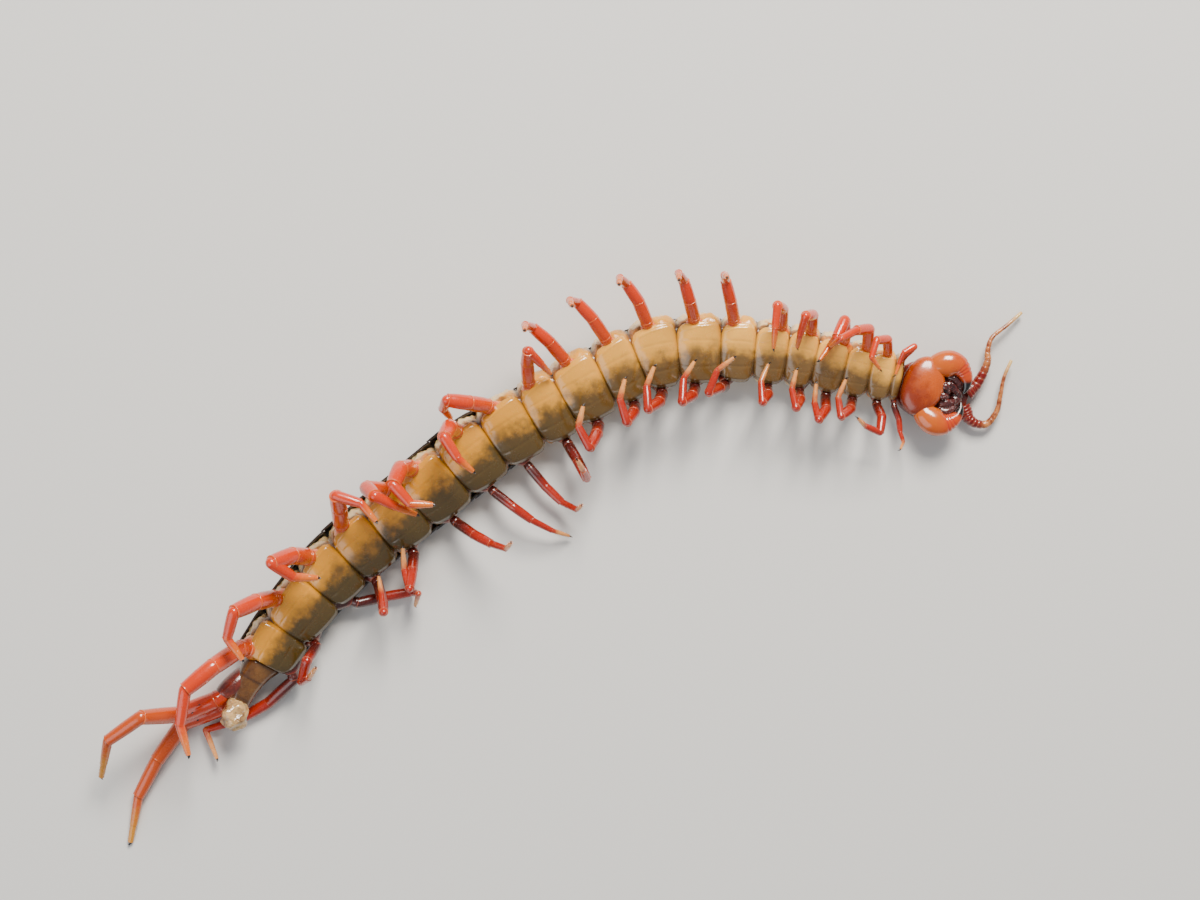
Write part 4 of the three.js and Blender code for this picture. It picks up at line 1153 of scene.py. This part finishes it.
def lobe_pair(stations, flat, middle=0.0):
    """Two rounded lobes, to the right and the left of a middle, along stations (ahead, right, up,
    radius). The radius is drawn in to a dome at both ends by the root of 1 - (2t - 1)^6."""
    table = smooth_line(stations, LOBE_ROWS)
    t = np.linspace(0, 1, LOBE_ROWS)
    thick = table[:, 3] * np.sqrt(np.clip(1 - (2 * t - 1) ** 6, 0, 1)) + 0.01
    lines = [head_place(table[:, 0], side * table[:, 1] + middle, table[:, 2]) for side in SIDES.values()]
    return [tube_skin(carried(line, thick, LOBE_SIDES, flat)) for line in lines]


# %% Mouthparts and tooth plates
mouth_finish = mottled_finish("mouth_horn", colour(98, 40, 36), colour(34, 10, 12), 620.0, 0.36, 0.62,
                              gloss=0.06, wrinkle=0.9, relief_scale=900.0, depth=0.00025, coat=1.0, glow=0.15)
lobes = [lobe for stations in MOUTH_LOBES for lobe in lobe_pair(stations, 0.85)]
make_piece("mouthparts", lobes, mouth_finish)
make_piece("tooth_plates", lobe_pair(TOOTH_PLATE, 0.5, 0.3), mouth_finish)
print("lobes of the mouth:", len(lobes))

# %% [markdown]
# ## Antennae
# An antenna has some eighteen articles. The first are glossy and red with pale rings, the
# others tan and covered in short hair. Eighteen separate beads would be truer to the animal, but
# at this size a tube with a waist between every two articles looks the same: its radius is the
# taper times 1 less a small bell curve at each joint.

# %% Antennae
ARTICLES_OF_ANTENNA = 18
ANTENNA_ROWS = ARTICLES_OF_ANTENNA * 9 + 1
ANTENNA_HAIRS = {"count": 520, "length": 0.24, "thickness": 0.014, "seed": 5}
SOCKET_HEADINGS = {"right": 41.0, "left": -62.0}
SOCKET_PLACE = (11.8, 1.25, 1.9)
SOCKET_RISE = 4.0
ANTENNA_FROM = 1.3
ANTENNA_STRAIGHT = 0.9
ANTENNA_WAIST = 0.13
ANTENNA_LINES = {
    "right": [(72.3, 31.6, 2.4), (73.1, 33.8, 2.6), (73.1, 35.4, 2.6), (73.9, 37.8, 2.4), (76.6, 40.0, 2.0),
              (79.2, 42.2, 1.2)],
    "left": [(71.2, 23.0, 1.9), (73.2, 23.0, 1.8), (74.8, 25.2, 2.0), (75.4, 28.0, 2.2), (76.0, 31.0, 2.3),
             (77.3, 33.9, 2.0)],
}
ANTENNA_RED = colour(112, 8, 2)
ANTENNA_TAN = colour(196, 122, 60)
ANTENNA_BROWN = colour(116, 44, 20)
ANTENNA_TIP = colour(224, 184, 110)
ANTENNA_RING = colour(226, 140, 92)

antenna_finish, tree, shader, place = start_finish("antenna_horn")
far = mark_of(tree, "far")
tan = blend(tree, blotch_mask(tree, place, 900.0, 0.4, 0.6), ANTENNA_TAN, ANTENNA_BROWN)
horn = blend(tree, remap(tree, far, 0.36, 0.5), ANTENNA_RED, tan)
horn = blend(tree, remap(tree, far, 0.85, 1.0), horn, ANTENNA_TIP)
horn = tint(tree, horn, mark_of(tree, "joint"), 0.22, ANTENNA_RING)
finish_horn(tree, shader, place, horn, gloss=0.2, wrinkle=0.3, relief_scale=1600.0, depth=0.00006, coat=0.5,
            glow=0.15)

t = np.linspace(0, 1, ANTENNA_ROWS)
local = (t * ARTICLES_OF_ANTENNA) % 1
joint = np.exp(-((np.minimum(local, 1 - local) / ANTENNA_WAIST) ** 2))
thick = (0.3 + 1.2 * (1 - t) ** 1.8) * (1 - 0.1 * joint)
hairy = np.arange(48, ANTENNA_ROWS, 4)
for side_name, side in SIDES.items():
    way = direction(SOCKET_HEADINGS[side_name], SOCKET_RISE)
    foot = head_place(SOCKET_PLACE[0], side * SOCKET_PLACE[1], SOCKET_PLACE[2])
    start = foot + way * ANTENNA_FROM
    first_places = [foot, start, start + way * ANTENNA_STRAIGHT]
    line = smooth_line(np.vstack(first_places + [ANTENNA_LINES[side_name]]), ANTENNA_ROWS)
    tube = tube_skin(carried(line, thick, 18), far=t[:, None], joint=joint[:, None])
    hair = bristles(line[hairy], thick[hairy], **ANTENNA_HAIRS, first=0)
    name = f"antenna_{side_name}"
    make_piece(name + "_articles", [tube, hair], antenna_finish, [name])
print("antennae:", len(SIDES))

# %% [markdown]
# ## The tail end
# Behind the last leg-bearing plate comes a narrower, darker segment. Two long flank pieces of
# dark red horn carry the last pair of legs, and between them ends the soft, cream-coloured
# tail. The tail bends down to the left, so it has its own heading. All four forms are lobes of
# one kind, because one helper with a few stations for each is less to learn than four shapes.

# %% Tail places
TAIL_HEADING = 237.0
TAIL_ROLL = np.radians(24)
TAIL_START = np.append(at_run(np.array(TRUNK_END), spine_line), 0.0)
tail_place = places_from(TAIL_START, TAIL_HEADING, -90)


def tail_lobe(stations, rows, columns, power, roll=0.0):
    """Skin of a lobe from stations (back, right, up, half width, half height), each ring a
    rounded box turned by the roll; the ends are drawn in like a dome."""
    table = smooth_line(stations, rows)
    turn = around(columns)[None]
    t = np.linspace(0, 1, rows)[:, None]
    dome = np.clip(1 - (2 * t - 1) ** 12, 0, 1) ** 0.5
    wide = fuller(np.sin(turn), power) * table[:, 3, None] * dome
    high = fuller(np.cos(turn), power) * table[:, 4, None] * dome
    right = table[:, 1, None] + wide * np.cos(roll) - high * np.sin(roll)
    up = table[:, 2, None] + wide * np.sin(roll) + high * np.cos(roll)
    return table[:, 0, None], right, up, t


# %% Tail finishes
TAIL_BROWN = colour(112, 74, 32)
TAIL_BROWN_DEEP = colour(70, 38, 16)
TAIL_RIM = colour(40, 14, 6)

tail_finish, tree, shader, place = start_finish("tail_horn")
brown = blend(tree, blotch_mask(tree, place, 260.0, 0.36, 0.66), TAIL_BROWN, TAIL_BROWN_DEEP)
brown = tint(tree, brown, mark_of(tree, "rim"), 0.7, TAIL_RIM)
finish_horn(tree, shader, place, brown, gloss=0.18, wrinkle=0.3, relief_scale=500.0, depth=0.00018, coat=0.8,
            glow=0.1)
flank_finish = mottled_finish("tail_flank_horn", colour(138, 52, 34), colour(92, 32, 24), 420.0, 0.38, 0.64,
                              gloss=0.14, wrinkle=0.5, relief_scale=1500.0, depth=0.00012, coat=0.8, glow=0.2)
soft_finish = mottled_finish("tail_soft_skin", colour(216, 176, 116), colour(120, 84, 52), 420.0, 0.4, 0.62,
                             gloss=0.04, wrinkle=1.0, relief_scale=460.0, depth=0.0006, coat=1.0, glow=0.3)


# %% Tail segment
TAIL_BODY = [
    (-0.4, 0.4, 3.3, 3.3, 2.7), (1.3, 1.2, 3.4, 3.1, 2.6), (3.2, 1.3, 4.0, 2.6, 2.1),
    (5.6, 1.2, 4.3, 2.2, 1.8), (8.4, 0.6, 4.6, 1.7, 1.5), (9.6, 0.3, 4.9, 1.5, 1.3),
]
back, right, up, t = tail_lobe(TAIL_BODY, 60, 56, 0.8, TAIL_ROLL)
rim = bump_at(t, 0.42, 0.02) + bump_at(t, 0.7, 0.02)
tail_skin = tube_skin(tail_place(back, right, up), rim=rim)
tail_piece = make_piece("tail_segment", [tail_skin], tail_finish, ["tail_end"])
print("faces of the tail segment:", len(tail_piece.data.polygons))

# %% Tail flanks and soft end
FLANKS = {
    "right": [(1.2, 1.8, 3.4, 1.1, 1.1), (3.4, 2.5, 4.1, 1.7, 1.7), (5.6, 3.0, 4.8, 1.9, 1.9),
              (7.4, 3.4, 5.3, 1.75, 1.75), (8.6, 3.65, 5.6, 1.45, 1.45)],
    "left": [(2.0, 0.3, 3.2, 1.0, 1.0), (4.6, 0.95, 2.9, 1.5, 1.5), (7.0, 1.6, 2.7, 1.6, 1.6),
             (8.8, 2.1, 2.5, 1.55, 1.55), (9.8, 2.35, 2.4, 1.4, 1.4)],
}
for side_name, stations in FLANKS.items():
    back, right, up, t = tail_lobe(stations, 40, 36, 1.0)
    make_piece(f"tail_flank_{side_name}", [tube_skin(tail_place(back, right, up))], flank_finish)

VENT = [
    (7.4, 0.4, 5.3, 1.3, 1.0), (8.6, 0.2, 5.8, 2.0, 1.5), (10.2, 0.0, 6.0, 2.25, 1.75),
    (11.8, -0.1, 5.9, 1.9, 1.5), (12.7, -0.1, 5.7, 1.3, 1.0),
]
VENT_SIDES = 48
back, right, up, t = tail_lobe(VENT, 48, VENT_SIDES, 1.0)
turn = around(VENT_SIDES)[None]
# Waves round and along the soft end make its uneven folds.
dent = 1 - 0.12 * np.sin(3 * turn + 6 * t) * np.sin(np.pi * t)
dent = dent - 0.08 * np.sin(5 * turn - 9 * t) + 0.06 * np.sin(14 * t)
middle_right, middle_up = right.mean(1, keepdims=True), up.mean(1, keepdims=True)
vent = tail_place(back, middle_right + (right - middle_right) * dent, middle_up + (up - middle_up) * dent)
vent_piece = make_piece("tail_soft_end", [tube_skin(vent)], soft_finish)
print("faces of the soft end:", len(vent_piece.data.polygons))

# %% [markdown]
# ## The last pair of legs
# These trail behind, longer and stouter than the rest, and end in long feet. They could be
# modelled on their own, but they use the same articles, with their own shares, and stand on the
# ends of the tail's flank pieces. The thick first article carries three short dark spines.

# %% Tail legs
TAIL_LEGS = {
    "right": ((2.4, 2.2, 3.8), (8.4, 3.6, 5.6), (202, -8, 178, 48, 215, -8, 253, -33)),
    "left": ((3.2, 0.6, 3.0), (9.6, 2.3, 2.4), (201, -6, 235, 4, 242, -6, 259, -6)),
}
TAIL_LEG_SIDES = 26
TAIL_LEG_HAIRS = {"count": 160, "length": 0.32, "thickness": 0.022}
THIGH_SPINES = ((0.35, 0.2), (0.6, -0.35), (0.88, 0.3))
THIGH_SPINE_LENGTH = 0.55
THIGH_SPINE_RADIUS = 0.16


def thigh_spines(start, end, radius):
    """Short hooked spines on top of a thigh, at shares of its length and leaning to either side."""
    way = unit(end - start)
    spines = []
    for share, lean in THIGH_SPINES:
        over = unit(UP + lean * np.cross(way, UP))
        foot = start + (end - start) * share + over * radius * 0.9
        spines.append(claw_hook(foot, over, way, THIGH_SPINE_LENGTH, THIGH_SPINE_RADIUS))
    return spines


for side_name, (flank_from, flank_to, pose) in TAIL_LEGS.items():
    start, end = (tail_place(*np.array(place_of)) for place_of in (flank_from, flank_to))
    way = unit(unit(end - start) + direction(pose[0], pose[1]))
    joints = leg_joints(end - way * HIP_LENGTH, way, 1.0, pose, TAIL_LEG_LENGTH, TAIL_LEG_SHARES,
                        TAIL_LEG_RADIUS)
    skins = limb_skins(joints, TAIL_LEG_RADIUS, TAIL_LEG_TAPER, TAIL_LEG_SIDES, TAIL_LEG_HAIRS, seed=77)
    skins += thigh_spines(joints[1], joints[2], TAIL_LEG_RADIUS)
    make_piece(f"leg_{side_name}_21_articles", skins, tail_leg_finish, [f"leg_{side_name}_21"])
print("tail legs:", len(TAIL_LEGS))

# %% [markdown]
# ## Floor and light
# A plain pale floor lies at height zero. One broad lamp stands on the side of the raised flank,
# so that the legs on the far side fall into soft shade. A weak second lamp and a pale sky keep
# the shade readable. One bare sun would be simpler, but its hard shadows would hide the legs.

# %% Floor
FLOOR_HALF = 0.9
FLOOR_ROUGHNESS = 0.8
floor_finish = bpy.data.materials.new("pale_floor")
floor_finish.use_nodes = True
floor_shader = floor_finish.node_tree.nodes["Principled BSDF"]
floor_shader.inputs["Base Color"].default_value = colour(214, 212, 208)
floor_shader.inputs["Roughness"].default_value = FLOOR_ROUGHNESS
floor_mesh = bpy.data.meshes.new("floor")
floor_corners = [(x * FLOOR_HALF, y * FLOOR_HALF, 0) for x, y in ((-1, -1), (1, -1), (1, 1), (-1, 1))]
floor_mesh.from_pydata(floor_corners, [], [(0, 1, 2, 3)])
floor_mesh.materials.append(floor_finish)
floor = bpy.data.objects.new("floor", floor_mesh)
scene.collection.objects.link(floor)
print("floor:", 2 * FLOOR_HALF, "m wide")

# %% Lamps and sky
LAMP_AIM = np.array([0.0, 0.01, 0.0])
SKY_TINT = (0.9, 0.95, 1.0, 1.0)
SKY_STRENGTH = 0.35


def lamp(name, place, size, power, tint_of_light):
    """A square lamp at a place in metres, facing the middle of the animal."""
    data = bpy.data.lights.new(name, "AREA")
    data.size = size
    data.energy = power
    data.color = tint_of_light
    made = bpy.data.objects.new(name, data)
    made.location = place
    way = np.array(place) - LAMP_AIM
    turn_z = np.arctan2(way[1], way[0]) + np.pi / 2
    made.rotation_euler = (np.arccos(way[2] / np.linalg.norm(way)), 0.0, turn_z)
    scene.collection.objects.link(made)


lamp("key_lamp", (0.12, 0.5, 0.52), 0.3, 11.0, (1.0, 0.95, 0.88))
lamp("fill_lamp", (-0.5, -0.35, 0.5), 0.7, 3.0, (0.92, 0.96, 1.0))
world = bpy.data.worlds.new("sky")
world.use_nodes = True
world.node_tree.nodes["Background"].inputs["Color"].default_value = SKY_TINT
world.node_tree.nodes["Background"].inputs["Strength"].default_value = SKY_STRENGTH
scene.world = world
print("lamps:", [lamp_data.name for lamp_data in bpy.data.lights])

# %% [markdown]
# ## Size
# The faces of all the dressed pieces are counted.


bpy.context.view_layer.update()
faces_made = sum(len(piece.data.polygons) for piece in scene.objects if piece.type == "MESH")
print("faces:", faces_made)
